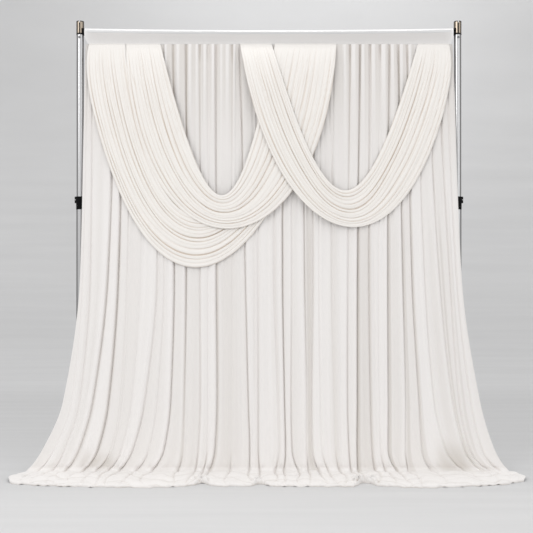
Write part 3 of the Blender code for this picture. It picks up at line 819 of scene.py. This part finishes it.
def fold_profile(groove, width, steps, narrow, flatness, sharpness):
    """Depth of the creases at both edges of every cell: a broad V and, inside it, a narrow slot.
    Broad share: (1 - 2 s) to a power. Narrow share: e to the power -(distance / narrow) to a power."""
    left, right = groove[:, :-1, None], groove[:, 1:, None]
    span = width[:, :, None]
    sink = np.zeros(left.shape[:2] + (len(steps),))
    for edge, near in ((left, steps), (right, 1.0 - steps)):
        broad = np.maximum(0.0, 1.0 - 2.0 * near) ** sharpness
        slot = np.exp(-((near * span / narrow) ** flatness)) * (near < 0.5)
        sink = sink + edge * (0.20 * broad + 0.80 * slot)
    return np.concatenate([sink.reshape(len(groove), -1), groove[:, -1:]], axis=1)


hanging_rows = np.concatenate([
    np.linspace(CURTAIN_TOP, 2.75, 16, endpoint=False),
    np.linspace(2.75, 0.5, 42, endpoint=False),
    np.linspace(0.5, BEND_RADIUS, 14, endpoint=False),
])
bend_turns = np.radians(np.linspace(0.0, 90.0, 22, endpoint=False))
pool_rows = np.linspace(0.0, 1.0, 58)
heights = np.concatenate([hanging_rows, BEND_RADIUS * (1 - np.sin(bend_turns)), 0.0 * pool_rows])
runs = np.concatenate([0.0 * hanging_rows, 0.0 * bend_turns, pool_rows])
tilts = np.concatenate([0.0 * hanging_rows, bend_turns, 0.0 * pool_rows + math.pi / 2])
rows = heights[:, None]
run = runs[:, None]
bent = np.sin(tilts)[:, None]

table = np.array(CREASES, float)
crease_x = smooth_path(CREASE_HEIGHTS, table[:, :5].T * MM, heights)
crease_x *= 1.0 + (HEM_SPREAD - 1.0) * (1.0 - (1.0 - 1.7 * run) ** 2)
wander = ripple(table[None, :, 4] * MM, run, CREASE_WANDER)
crease_x[:, 1:-1] += (wander * run)[:, 1:-1]
cell_width = np.diff(crease_x, axis=1)
head, body, low_groove = table[:, 5] * MM, table[:, 6] * MM, table[:, 7] * MM
drop = np.maximum(CURTAIN_TOP - rows, 0.0)
gathered = head + 0.4 * (head - SEAM_CREST)
crest = gathered + (CREST - gathered) * growth(drop, CREST_GROWTH)
pool_crest = np.interp(runs, (0.0, 0.5, 1.0), (FOOT_CREST, POOL_CREST, HEM_CREST))[:, None]
crest = crest * (1.0 - bent) + pool_crest * bent
whole = np.ones_like(low_groove)
shares = np.stack([whole, low_groove / CREST, body / CREST, body / CREST, whole])
groove = crest * np.stack([np.interp(heights, GROOVE_HEIGHTS, share) for share in shares.T], axis=1)
groove = groove * (1.0 - 0.55 * run)

CELL_STEPS = np.linspace(0.0, 1.0, 18, endpoint=False)
CELL_STEPS = CELL_STEPS - 0.35 * np.sin(2 * math.pi * CELL_STEPS) / (2 * math.pi)
x = between(crease_x, CELL_STEPS)
rise = between(crest, CELL_STEPS)
SLOT_WIDTH = 0.0046
SLOT_WIDER_ABOVE = 0.0045
slot_width = SLOT_WIDTH + SLOT_WIDER_ABOVE * np.exp(-drop / 0.35) + 0.003 * bent
slot_flatness = 2.0 + 2.5 * np.exp(-drop / 0.28)
calm = np.interp(crease_x, (-1.30, -1.10, 0.95, 1.15), (0.75, 1.0, 1.0, 0.62))
groove = groove * (1 - (1 - calm) * growth(drop, 0.3))
sink = fold_profile(groove, cell_width, CELL_STEPS, slot_width[:, :, None], slot_flatness[:, :, None], 2.5)
# Each pleat's depth, as a share of its crests, sets its share of painted shade.
pleat_shade = sink / np.maximum(between(crest, CELL_STEPS), 0.016)
sink = sink * (1.0 - 0.35 * growth(drop, 0.2))

# A rounded bead runs beside each crease, where the cloth folds over, and a flatter strip on its other side.
BEAD_START = 0.004
BEAD_WIDTH = 0.012
BEAD_HEIGHT = 0.0075
FULL_CREASE = 0.028
FLAT_OFFSET = 0.0198
FLAT_HALF = 0.0192
FLAT_SHARE = 0.16
UNDER_SWAGS = 1.55
under = 0.45 + 0.55 * np.clip((UNDER_SWAGS + 0.2 - rows) / 0.4, 0.0, 1.0)
# Each bead's share is kept for a painted highlight beside its crease.
bead_highlight = np.zeros_like(x)
for number, row in enumerate(table[1:-1], start=1):
    crease_here = crease_x[:, number:number + 1]
    depth_here = groove[:, number:number + 1]
    beyond = np.maximum((x - crease_here) * row[8] - BEAD_START, 0.0) / BEAD_WIDTH
    ridge = beyond * np.exp(1.0 - beyond) * np.clip(depth_here / FULL_CREASE, 0.0, 1.0)
    strip = hill(x - crease_here + row[8] * FLAT_OFFSET, FLAT_HALF)
    flat = FLAT_SHARE * depth_here * (1 - bent) * strip
    rise = rise + BEAD_HEIGHT * under * ridge * (1 - bent) - flat
    bead_highlight = np.maximum(bead_highlight, ridge)

fine = np.array(FINE_CREASES, float)
fine_x = smooth_path(FINE_HEIGHTS, fine[:, :4].T * MM, np.clip(heights, FINE_HEIGHTS[-1], FINE_HEIGHTS[0]))
spread = np.interp(heights, (0.0, 0.23), (1.06, 1.0))[:, None]
strength = growth(drop, 0.15) * (1 - 0.8 * bent)
for number, row in enumerate(fine):
    line = strength * hill(x - fine_x[:, number:number + 1] * spread, row[5] * MM)
    rise = rise - row[4] * MM * line
    pleat_shade = pleat_shade + 0.05 * row[4] * line
raised = np.zeros_like(x)
for place, height_mm, half_mm in HEAD_FOLDS:
    fold = hill(x - place * MM, half_mm * MM, 6) * hill(drop, HEAD_FADE)
    beside = (place - half_mm) * MM - LINE_BESIDE
    line = hill(x - beside, LINE_HALF) * np.exp(-drop / HEAD_FADE)
    rise = rise + height_mm * MM * fold * growth(drop + 0.008, 0.03)
    rise = rise - LINE_DEPTH * line * growth(drop + 0.01, 0.03)
    raised = np.maximum(raised, fold)
    pleat_shade = pleat_shade + 0.62 * line
for number in LONG_LINES:
    line = hill(x - crease_x[:, number:number + 1], LONG_LINE_HALF) * hill(drop, LONG_LINE_FADE, 4)
    pleat_shade = pleat_shade + 0.75 * line

# Faint streaks keep to their own thread lines, which open out with the cloth.
thread_x = between(table[None, :, 1] * MM, CELL_STEPS)
streaks = ripple(thread_x, rows, STREAKS)
rise = rise - sink + streaks * under * growth(drop, 0.1) * (1 - bent)

reach_plan = np.array(HEM_PLAN, float) * MM
bend_front = curtain_back_depth(BEND_RADIUS) + BEND_RADIUS
level = run * 0.0
scallop = ripple(x, level, HEM_SCALLOPS)
reach = np.interp(x, reach_plan[:, 0], reach_plan[:, 1]) - bend_front + scallop
wave_run = run * reach
laid = wave_run - BEND_RADIUS * (math.pi / 2 - tilts[:, None])
crumple = np.zeros_like(x)
valley = np.zeros_like(x)
sway = ripple(x, level, POOL_SWAY)
for height_m, along_x, along_y, start in POOL_RIDGES:
    swing = np.abs(np.sin(math.pi * (along_x * x + along_y * (laid + sway)) + start))
    strength = 0.65 + 0.35 * np.sin(x * 9.0 + start * 5.0)
    crumple = crumple + height_m * strength * (swing ** 0.8 - 0.55)
    valley = np.maximum(valley, (1 - swing) ** 7 * height_m * strength / POOL_RIDGES[0][0])
valley = valley * np.clip(laid / 0.03, 0.0, 1.0)
pool_start = ripple(x, level, POOL_STARTS)
pool = eased((laid + 0.010 - pool_start) / POOL_BLEND)
rise = rise + pool * (crumple + POOL_RISE)

# Each bunch is a low mound with rays of creases that run out from its middle.
BUNCH_HEIGHT = 0.014
RAY_HEIGHT = 0.013
RAY_COUNT = 6.0
for place, depth_mm, extent in BUNCHES:
    to_x = x - place * MM
    to_y = (bend_front + wave_run) - depth_mm * MM
    distance = np.hypot(to_x, to_y)
    angle = np.arctan2(to_y, to_x)
    near = hill(distance, extent * MM) * np.clip(run / 0.15, 0.0, 1.0)
    rays = RAY_HEIGHT * np.cos(angle * RAY_COUNT + 3.0 * np.sin(distance * 60.0))
    rays = rays * np.clip(distance / 0.02, 0, 1)
    rise = rise + near * (BUNCH_HEIGHT + rays)
    # Painted shade in the creases between the rays.
    pleat_shade = pleat_shade + near * np.clip(-rays / 0.010, 0.0, 1.0) ** 2 * 1.2

# The last of the cloth rolls under along the hem, which rests on the floor.
HEM_GAP = 0.0006
LIFT_HEIGHT = 0.0045
LIFT_HALF = 0.010
HEM_TUCK = 0.004
FLOOR_GAP = 0.0003
hem_roll = np.clip((run - 0.955) / 0.045, 0.0, 1.0)
floor_gap = np.full_like(x, HEM_GAP)
for place in HEM_LIFTS:
    floor_gap = floor_gap + LIFT_HEIGHT * hill(x - place * MM, LIFT_HALF)
rise = np.where(run > 0, np.maximum(rise, 0.002), rise)
roll_drop = (1 - np.cos(hem_roll * math.pi * 0.62)) * 0.5 / 0.68
rolled = np.clip(roll_drop, 0, 1)
rise = rise * (1 - rolled) + floor_gap * rolled
tuck = HEM_TUCK * np.clip(hem_roll - 0.7, 0.0, 0.3) / 0.3

hanging = np.where(tilts > 0, bend_front - BEND_RADIUS * np.cos(tilts), curtain_back_depth(heights))
depth = hanging[:, None] + run * reach - tuck + rise * np.cos(tilts)[:, None]
z = np.maximum(rows + rise * np.sin(tilts)[:, None], FLOOR_GAP)
curtain_points = np.stack([x, front(depth), z], axis=-1)
# Painted shade in the pleats and in the pool's valleys, and a painted contact shadow under the rolled hem.
pleat_shade = np.clip(pleat_shade, 0.0, 1.2) * (1 - 0.40 * bent) + 0.9 * pool * valley
hem_contact_shadow = np.clip((roll_drop - 0.72) / 0.2, 0.0, 1.0)
pleat_shade = np.maximum(pleat_shade, hem_contact_shadow * (0.95 + 0.3 * np.sin(x * 23.0) * np.sin(x * 9.1)))

# Where two layers lie together the voile lets less light through and looks whiter, shown as painted light.
# Painted highlight on the beads, the raised folds and the pool on the floor; painted shade near the seam, in
# bands, creases and hollows.
BASE_TONE = 0.26
HEAD_SHADE_TONE = 0.50
HOLLOW_TONE = 0.80
layers = ripple(thread_x, rows, LAYERS)
# The cloth lying flat on the floor takes a painted highlight.
pool_light = np.clip((laid + 0.03 - 0.4 * pool_start) / 0.05, 0.0, 1.0)
shade_band = np.zeros_like(x)
light_band = np.zeros_like(x)
for place, half_mm, amount in BANDS:
    band = hill(thread_x - place * MM, half_mm * MM, 4) * amount
    shade_band = np.maximum(shade_band, band)
    light_band = np.maximum(light_band, -band)
low_down = np.clip((BANDS_TOP - rows) / 0.5, 0.0, 1.0) * (1 - pool_light)
whiteness = 0.42 + 0.22 * layers + 0.65 * bead_highlight + 0.9 * pool_light + 0.5 * raised + light_band * low_down
whiteness = np.clip(whiteness, 0.0, 1.0)
# Painted shade below the seam, except on the raised folds.
head_shade = HEAD_SHADE_TONE * hill(drop, 0.7) * (1 - raised)
tone = np.maximum(BASE_TONE * (1 - whiteness), head_shade)
tone = np.maximum(tone, shade_band * low_down * (1 - 0.6 * bead_highlight))
tone = np.maximum(tone, np.clip(pleat_shade, 0.0, 1.2) ** 1.5 * (0.78 - 0.18 * low_down))
for place, high in HOLLOWS:
    dark = hill(x - place, HOLLOW_HALF, 4) * hill(rows - HOLLOW_Z, high) * (1 - pool_light)
    tone = np.maximum(tone, HOLLOW_TONE * dark * (1 - 0.8 * bead_highlight))
voile = cloth_material("curtain_voile", (0.885, 0.86, 0.843), (0.64, 0.60, 0.556))
curtain = cloth_sheet("curtain_sheet", curtain_points, tone, voile)
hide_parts("curtain")
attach(curtain, "root")


# Swags
# Three bands of the same knit in a warmer ivory, gathered lengthways into soft uneven ribs.
# Both ends of each band are sewn on the face of the seam; the lowest hangs behind its neighbour,
# and the one on the right passes in front of both.
SWAG_LAP = 0.004
SWAG_CLEARANCE = 0.011
SWAG_LAYER = 0.020
SEAM_PUFF = 0.03
SWAG_LAYER_GROWTH = 0.12
RIB_GROWTH = 0.2
RIB_STATIONS = (1.0, 0.75, 0.5, 0.25, 0.0)
# Each edge is a hanging curve: X where it starts, X of its two pulls, their height, X where it ends.
# Each rib row is one crease: its share of the band's width in thousandths, from the inner edge, at the
# right end, the right arm, the bowl, the left arm and the left end, then its depth in mm. The layers are
# how many bands lie behind the left and the right part, and the laps how many are sewn under the ends.
SWAGS = {
    "swag_left_lower": {
        "inner": (-0.978, -0.802, -0.150, 1.330, 0.120),
        "outer": (-1.226, -1.018, -0.026, 0.865, 0.415),
        "layers": (0, 0),
        "laps": (0, 0),
        "flat": (0.45, 3.2),
        "belly": -0.036,
        "merge": 0.0,
        "ribs": (
            (80, 90, 85, 80, 90, 6),
            (170, 160, 150, 170, 170, 7),
            (240, 220, 225, 230, 250, 7),
            (310, 280, 285, 290, 330, 8),
            (390, 360, 350, 390, 400, 10),
            (470, 440, 434, 480, 480, 11),
            (540, 510, 498, 530, 550, 8),
            (610, 580, 570, 600, 620, 8),
            (680, 650, 635, 700, 700, 8),
            (770, 770, 767, 800, 790, 11),
            (840, 840, 835, 865, 860, 8),
            (920, 910, 920, 915, 930, 8),
        ),
    },
    "swag_left_upper": {
        "inner": (-0.739, -0.385, -0.228, 1.515, 0.042),
        "outer": (-0.972, -0.933, 0.364, 1.213, 0.459),
        "layers": (1, 1),
        "laps": (0, 1),
        "flat": (0.52, 2.7),
        "belly": 0.0,
        "merge": 0.016,
        "ribs": (
            (70, 60, 65, 80, 80, 5),
            (160, 150, 140, 180, 170, 7),
            (240, 220, 230, 270, 260, 8),
            (330, 310, 345, 380, 340, 9),
            (420, 400, 430, 450, 420, 7),
            (500, 490, 520, 510, 500, 9),
            (590, 600, 640, 570, 580, 8),
            (680, 690, 700, 650, 660, 6),
            (760, 770, 765, 730, 740, 8),
            (840, 850, 850, 820, 830, 9),
            (920, 930, 935, 910, 920, 7),
        ),
    },
    "swag_right": {
        "inner": (0.018, 0.401, 0.621, 1.560, 1.014),
        "outer": (-0.196, 0.054, 1.115, 1.228, 1.226),
        "layers": (2, 0),
        "laps": (0, 0),
        "flat": (0.42, 2.7),
        "belly": 0.03,
        "merge": 0.0,
        "ribs": (
            (80, 96, 84, 54, 60, 6),
            (150, 150, 185, 125, 130, 8),
            (220, 210, 270, 180, 200, 9),
            (310, 285, 390, 300, 290, 10),
            (400, 365, 515, 380, 380, 9),
            (480, 435, 610, 450, 460, 9),
            (560, 520, 690, 550, 550, 7),
            (660, 620, 760, 640, 630, 7),
            (760, 750, 840, 740, 730, 8),
            (850, 830, 910, 820, 830, 7),
            (930, 930, 960, 930, 930, 5),
        ),
    },
}


def hanging_curve(edge, t):
    """Points of a cubic curve that leaves the seam towards its first pull and comes back from its second.
    The four are weighted (1 - t) cubed, 3 t (1 - t) squared, 3 t squared (1 - t) and t cubed."""
    start, pull_left, pull_right, pull_z, end = edge
    a, b, c, d = (1 - t) ** 3, 3 * t * (1 - t) ** 2, 3 * t ** 2 * (1 - t), t ** 3
    x = a * start + b * pull_left + c * pull_right + d * end
    z = (a + d) * SEAM_Z + (b + c) * pull_z
    return x, z


def side_belly(t, belly):
    """Share of a swag's sideways belly along it: u e to the power 1 - u, from its outer end."""
    from_end = (t if belly < 0 else 1.0 - t) / 0.055
    return from_end * np.exp(1.0 - from_end)


RIB_CELL_STEPS = np.linspace(0.0, 1.0, 13, endpoint=False)
RIB_POWER = 3.2
EDGE_ROLL = 0.006
EDGE_HALF = 0.008
# Fine folds along a band: height in metres, lines a metre across it, and start.
FINE_FOLDS = ((0.0018, 34.0, 0.3), (0.0017, 57.0, 1.9), (0.0012, 89.0, 0.8))


def swag_surface(swag):
    """Points of a swag and its share of painted shade in the creases, rows along the band and columns
    across.
    Between two creases the cloth swells by 1 - |2 s - 1| to a power, in a flattened round."""
    inner, outer = np.array(swag["inner"]), np.array(swag["outer"])
    share = np.linspace(0.0, 1.0, 300)
    t = share - 0.35 * np.sin(2 * math.pi * share) / (2 * math.pi)
    rib_table = np.array(swag["ribs"], float)
    paths = smooth_path(RIB_STATIONS, rib_table[:, :5].T / 1000, t)
    ends = np.ones((len(t), 1))
    number = np.arange(1, paths.shape[1] + 1)
    paths = paths + 0.007 * np.sin(number * 3.1 + 9.0 * t[:, None]) * np.sin(math.pi * t[:, None])
    paths = np.concatenate([0 * ends, paths, ends], axis=1)
    number = np.arange(paths.shape[1])
    creases = np.concatenate([[7.0], rib_table[:, 5], [9.0]]) * MM
    creases = creases * (0.80 + 0.42 * np.sin(number * 1.7 + 6.5 * t[:, None] + swag["layers"][0]))
    creases[:, -1] = 0.009
    levels = 0.0088 + 0.0026 * np.sin(number * 2.4 + 4.2 * t[:, None] + 1.3 * swag["layers"][0])
    across = between(paths, RIB_CELL_STEPS)
    edge = inner[:, None, None] * (1 - across) + outer[:, None, None] * across
    x, z = hanging_curve(edge, t[:, None])
    x = x + swag["belly"] * across ** 1.5 * side_belly(t, swag["belly"])[:, None]

    drop = np.maximum(SEAM_Z - z, 0.0)
    seam_depth = TAIL_HALF + SLEEVE_WALL + 0.0003
    lean = curtain_back_depth(SEAM_Z - drop) - BACK_DEPTH
    over_curtain = lean + (CREST - SEAM_CREST) * growth(drop, CREST_GROWTH)
    laps = (swag["laps"][0] * (1 - t) + swag["laps"][1] * t)[:, None]
    lap_depth = laps * (CLOTH + 0.0003) * np.exp(-drop / SWAG_LAYER_GROWTH)
    crossing = eased((t[:, None] - 0.36) / 0.22)
    layers_under = swag["layers"][0] * (1 - crossing) + swag["layers"][1] * crossing
    layer_depth = layers_under * SWAG_LAYER * growth(drop, SWAG_LAYER_GROWTH)
    layer_depth = layer_depth + SWAG_CLEARANCE * growth(drop, SEAM_PUFF)

    inner_x, inner_z = hanging_curve(inner[:, None], t[None, :])
    outer_x, outer_z = hanging_curve(outer[:, None], t[None, :])
    band = np.hypot(inner_x - outer_x, inner_z - outer_z).reshape(-1, 1)
    cell = np.diff(paths, axis=1) * band
    first = np.maximum(0.0, 1.0 - 2.0 * RIB_CELL_STEPS) ** RIB_POWER
    second = np.maximum(0.0, 2.0 * RIB_CELL_STEPS - 1.0) ** RIB_POWER
    limit = np.minimum(1.0, cell[:, :, None] * 0.42 / 0.009)
    sink = (creases[:, :-1, None] * first + creases[:, 1:, None] * second) * limit
    sink = np.concatenate([sink.reshape(len(t), -1), creases[:, -1:]], axis=1)
    tops = between(levels, RIB_CELL_STEPS)
    grown = growth(drop, RIB_GROWTH)

    distance = across * band
    wander = 0.004 * np.sin(2 * math.pi * (1.3 * t[:, None] + 0.4))
    uneven = 0.006 * np.sin(2 * math.pi * (2.1 * t[:, None] + 1.7 * across)) + 0.003 * np.sin(41.0 * across)
    threads = np.zeros_like(distance)
    lines = np.zeros_like(distance)
    for height_m, turns, start in FINE_FOLDS:
        swing = np.abs(np.sin(math.pi * turns * (distance + wander + uneven) + start))
        patch = np.sin(start * 7.0 + 13.0 * across + 4.0 * t[:, None]) * np.sin(start + 9.0 * t[:, None])
        strength = np.clip(0.55 + 0.8 * patch, 0.1, 1.2)
        threads = threads + height_m * strength * (swing ** 0.8 - 0.5)
        lines = np.maximum(lines, (1 - swing) ** 5 * strength)
    in_arms = drop / 0.40 * np.exp(1.0 - drop / 0.40)
    fineness = (0.35 + 0.65 * in_arms) * growth(drop + 0.004, 0.03)
    gathers = threads * fineness
    swell = ripple(x, z, ((0.0016, 2.3, 3.1, 0.9), (0.0012, -4.1, 2.2, 2.4))) * grown
    rise = (tops - sink) * grown + gathers + swell
    depth = seam_depth + over_curtain + lap_depth + layer_depth + rise
    # Painted shade in the creases between the ribs and along the fine folds.
    painted_shade_share = sink / 0.011 * grown + 0.62 * lines * fineness

    free = 1.0 - np.clip((0.46 - t[:, None]) / 0.14, 0.0, 1.0) * (swag["merge"] > 0)
    from_outer = (1 - across) * band
    edge_roll = EDGE_ROLL * (np.exp(-distance / EDGE_HALF) + free * np.exp(-from_outer / EDGE_HALF))
    depth = depth - edge_roll * grown
    depth = depth - swag["merge"] * (1 - free) * grown * np.exp(-from_outer / 0.05)
    lap_rows = 4
    climb = np.linspace(1.0, 0.0, lap_rows, endpoint=False)[:, None]
    lap_z = np.full_like(z[:1], SEAM_Z) + SWAG_LAP * climb
    lip = 0.0016 * np.sin(math.pi * (0.25 + 0.75 * climb))
    head_x, tail_x = np.repeat(x[:1], lap_rows, axis=0), np.repeat(x[-1:], lap_rows, axis=0)
    head_depth, tail_depth = depth[:1] + lip, depth[-1:] + lip[::-1]
    x = np.concatenate([head_x, x, tail_x])
    z = np.concatenate([lap_z, z, lap_z[::-1]])
    depth = np.concatenate([head_depth, depth, tail_depth])
    painted_shade_share = np.concatenate([0 * head_x, painted_shade_share, 0 * tail_x])
    return np.stack([x, front(depth), z], axis=-1), painted_shade_share


ivory = cloth_material("swag_ivory", (0.915, 0.885, 0.85), (0.72, 0.625, 0.535))
for name, swag in SWAGS.items():
    points, painted_shade_share = swag_surface(swag)
    cloth_points = points.transpose(1, 0, 2)
    piece = cloth_sheet(f"{name}_band", cloth_points, painted_shade_share.T ** 1.35, ivory)
    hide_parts(name)
    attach(piece, "root")


# Studio floor and backdrop
# A pale grey seamless sweep: a flat floor that curves up into a wall well behind the curtain.
# It is matt, with painted shade a little darker behind the foot of the curtain and a painted pool of light
# high up behind it.
def sweep_points():
    """Floor, a quarter circle and a wall, as rows of points along Y and Z."""
    bend_y, radius, top = 4.6, 5.5, 12.0
    flat = [(y, 0.0) for y in np.linspace(-14.0, bend_y, 30, endpoint=False)]
    turns = np.linspace(0.0, math.pi / 2, 40, endpoint=False)
    curve = [(bend_y + radius * math.sin(a), radius * (1 - math.cos(a))) for a in turns]
    wall = [(bend_y + radius, z) for z in np.linspace(radius, top, 10)]
    profile = np.array(flat + curve + wall)
    places = np.linspace(-16.0, 16.0, 40)
    x = np.broadcast_to(places, (len(profile), len(places)))
    y = np.broadcast_to(profile[:, :1], x.shape)
    z = np.broadcast_to(profile[:, 1:], x.shape)
    return np.stack([x, y, z], axis=-1)


LIGHT_POOL_CENTRE = (0.9, 10.1, 7.4)
LIGHT_POOL_REACH = 6.5
STREAK_STRETCH = (0.25, 4.0, 0.6)
# Painted light and shade along the sweep: the share of the way from its front, and the grey there.
SWEEP_TONES = (
    (0.0, 0.69), (0.083, 0.67), (0.136, 0.62), (0.177, 0.60), (0.293, 0.61), (0.356, 0.68), (0.514, 0.63),
    (0.644, 0.66), (0.833, 0.68), (1.0, 0.68),
)
studio = new_material("studio_grey", (0.62, 0.62, 0.625), 0.9)
where = add_step(studio, "TexCoord", "Object")
away = add_step(studio, "SeparateXYZ", "Y", {"Vector": where})
inputs = {0: away, 1: away.node.outputs["Z"]}
path = add_step(studio, "Math", "Value", inputs, operation="ADD")
span = add_step(studio, "MapRange", "Result", {"Value": path, "From Min": -2.0, "From Max": 16.0})
tone = add_step(studio, "ValToRGB", "Color", {"Fac": span})
stops = tone.node.color_ramp.elements
for number, (position, grey) in enumerate(SWEEP_TONES):
    stop = stops[number] if number < 2 else stops.new(position)
    stop.position = position
    stop.color = (grey, grey, grey * 1.004, 1.0)
# A painted pool of light, up to 1.4 times as bright, round a point high on the wall.
apart = add_step(studio, "VectorMath", "Value", {0: where, 1: LIGHT_POOL_CENTRE}, operation="DISTANCE")
inputs = {"Value": apart, "From Min": 0.0, "From Max": LIGHT_POOL_REACH, "To Min": 1.40, "To Max": 1.0}
light_pool = add_step(studio, "MapRange", "Result", inputs, interpolation_type="SMOOTHSTEP")
# Faint streaks across the floor, as long as the sweep is wide.
stretched = add_step(studio, "Mapping", "Vector", {"Vector": where, "Scale": STREAK_STRETCH})
streak = add_step(studio, "TexNoise", "Fac", {"Vector": stretched, "Scale": 2.0, "Detail": 4.0})
faint = add_step(studio, "MapRange", "Result", {"Value": streak, "To Min": 0.94, "To Max": 1.06})
together = add_step(studio, "Math", "Value", {0: light_pool, 1: faint}, operation="MULTIPLY")
lit = add_step(studio, "VectorMath", "Vector", {0: tone, "Scale": together}, operation="SCALE")
feed(studio, lit, "Base Color")

grid = sweep_points()
quads = grid_faces(*grid.shape[:2])[:, ::-1]
sweep_mesh = bpy.data.meshes.new("studio_sweep")
sweep_mesh.from_pydata(grid.reshape(-1, 3).tolist(), [], quads.tolist())
sweep_mesh.shade_smooth()
sweep = new_piece("studio_sweep", sweep_mesh, studio)


# Light
# A broad soft key from high on the left, a weaker one from the right, a strip above the bar
# and an even white surround, so that the folds read softly and the sleeve's top edge glows.
SURROUND = 0.90
world = bpy.data.worlds.new("surround")
world.use_nodes = True
background = world.node_tree.nodes["Background"].inputs
background["Color"].default_value = (1.0, 1.0, 1.0, 1.0)
background["Strength"].default_value = SURROUND
bpy.context.scene.world = world


def soft_light(name, place, aim, size, power):
    """A rectangular soft white light at a place, turned towards a point."""
    lamp = bpy.data.lights.new(name, "AREA")
    lamp.shape = "RECTANGLE"
    lamp.size, lamp.size_y = size
    lamp.energy = power
    light = bpy.data.objects.new(name, lamp)
    light.location = place
    across = np.array(aim, float) - np.array(place, float)
    tilt = math.atan2(across[2], math.hypot(across[0], across[1]))
    heading = math.atan2(across[1], across[0])
    light.rotation_euler = (math.pi / 2 + tilt, 0.0, heading - math.pi / 2)
    light.visible_camera = False
    bpy.context.scene.collection.objects.link(light)


soft_light("key_light", (-4.5, -5.5, 4.6), (0.0, 0.2, 1.4), (3.0, 3.0), 92.0)
soft_light("fill_light", (5.0, -6.0, 3.4), (0.0, 0.2, 1.3), (3.5, 3.5), 40.0)
soft_light("top_light", (0.0, 0.35, 4.8), (0.0, 0.18, 2.99), (3.2, 0.5), 27.0)

view_settings = bpy.context.scene.view_settings
view_settings.view_transform = "Standard"
view_settings.look = "None"


# Camera
# Level, at chest height, six metres in front of the uprights and all but square on.
FOCAL_PIXELS = 880.0
PHOTO_PIXELS = 533.0
SENSOR_MM = 36.0
camera_data = bpy.data.cameras.new("camera")
camera_data.sensor_width = SENSOR_MM
camera_data.lens = FOCAL_PIXELS / PHOTO_PIXELS * SENSOR_MM
camera_data.clip_end = 200.0
camera = bpy.data.objects.new("camera", camera_data)
camera.location = (-0.0164, POLE_Y - 6.0, 1.38)
camera.rotation_euler = (math.pi / 2, 0.0, 0.0)
bpy.context.scene.collection.objects.link(camera)
bpy.context.scene.camera = camera
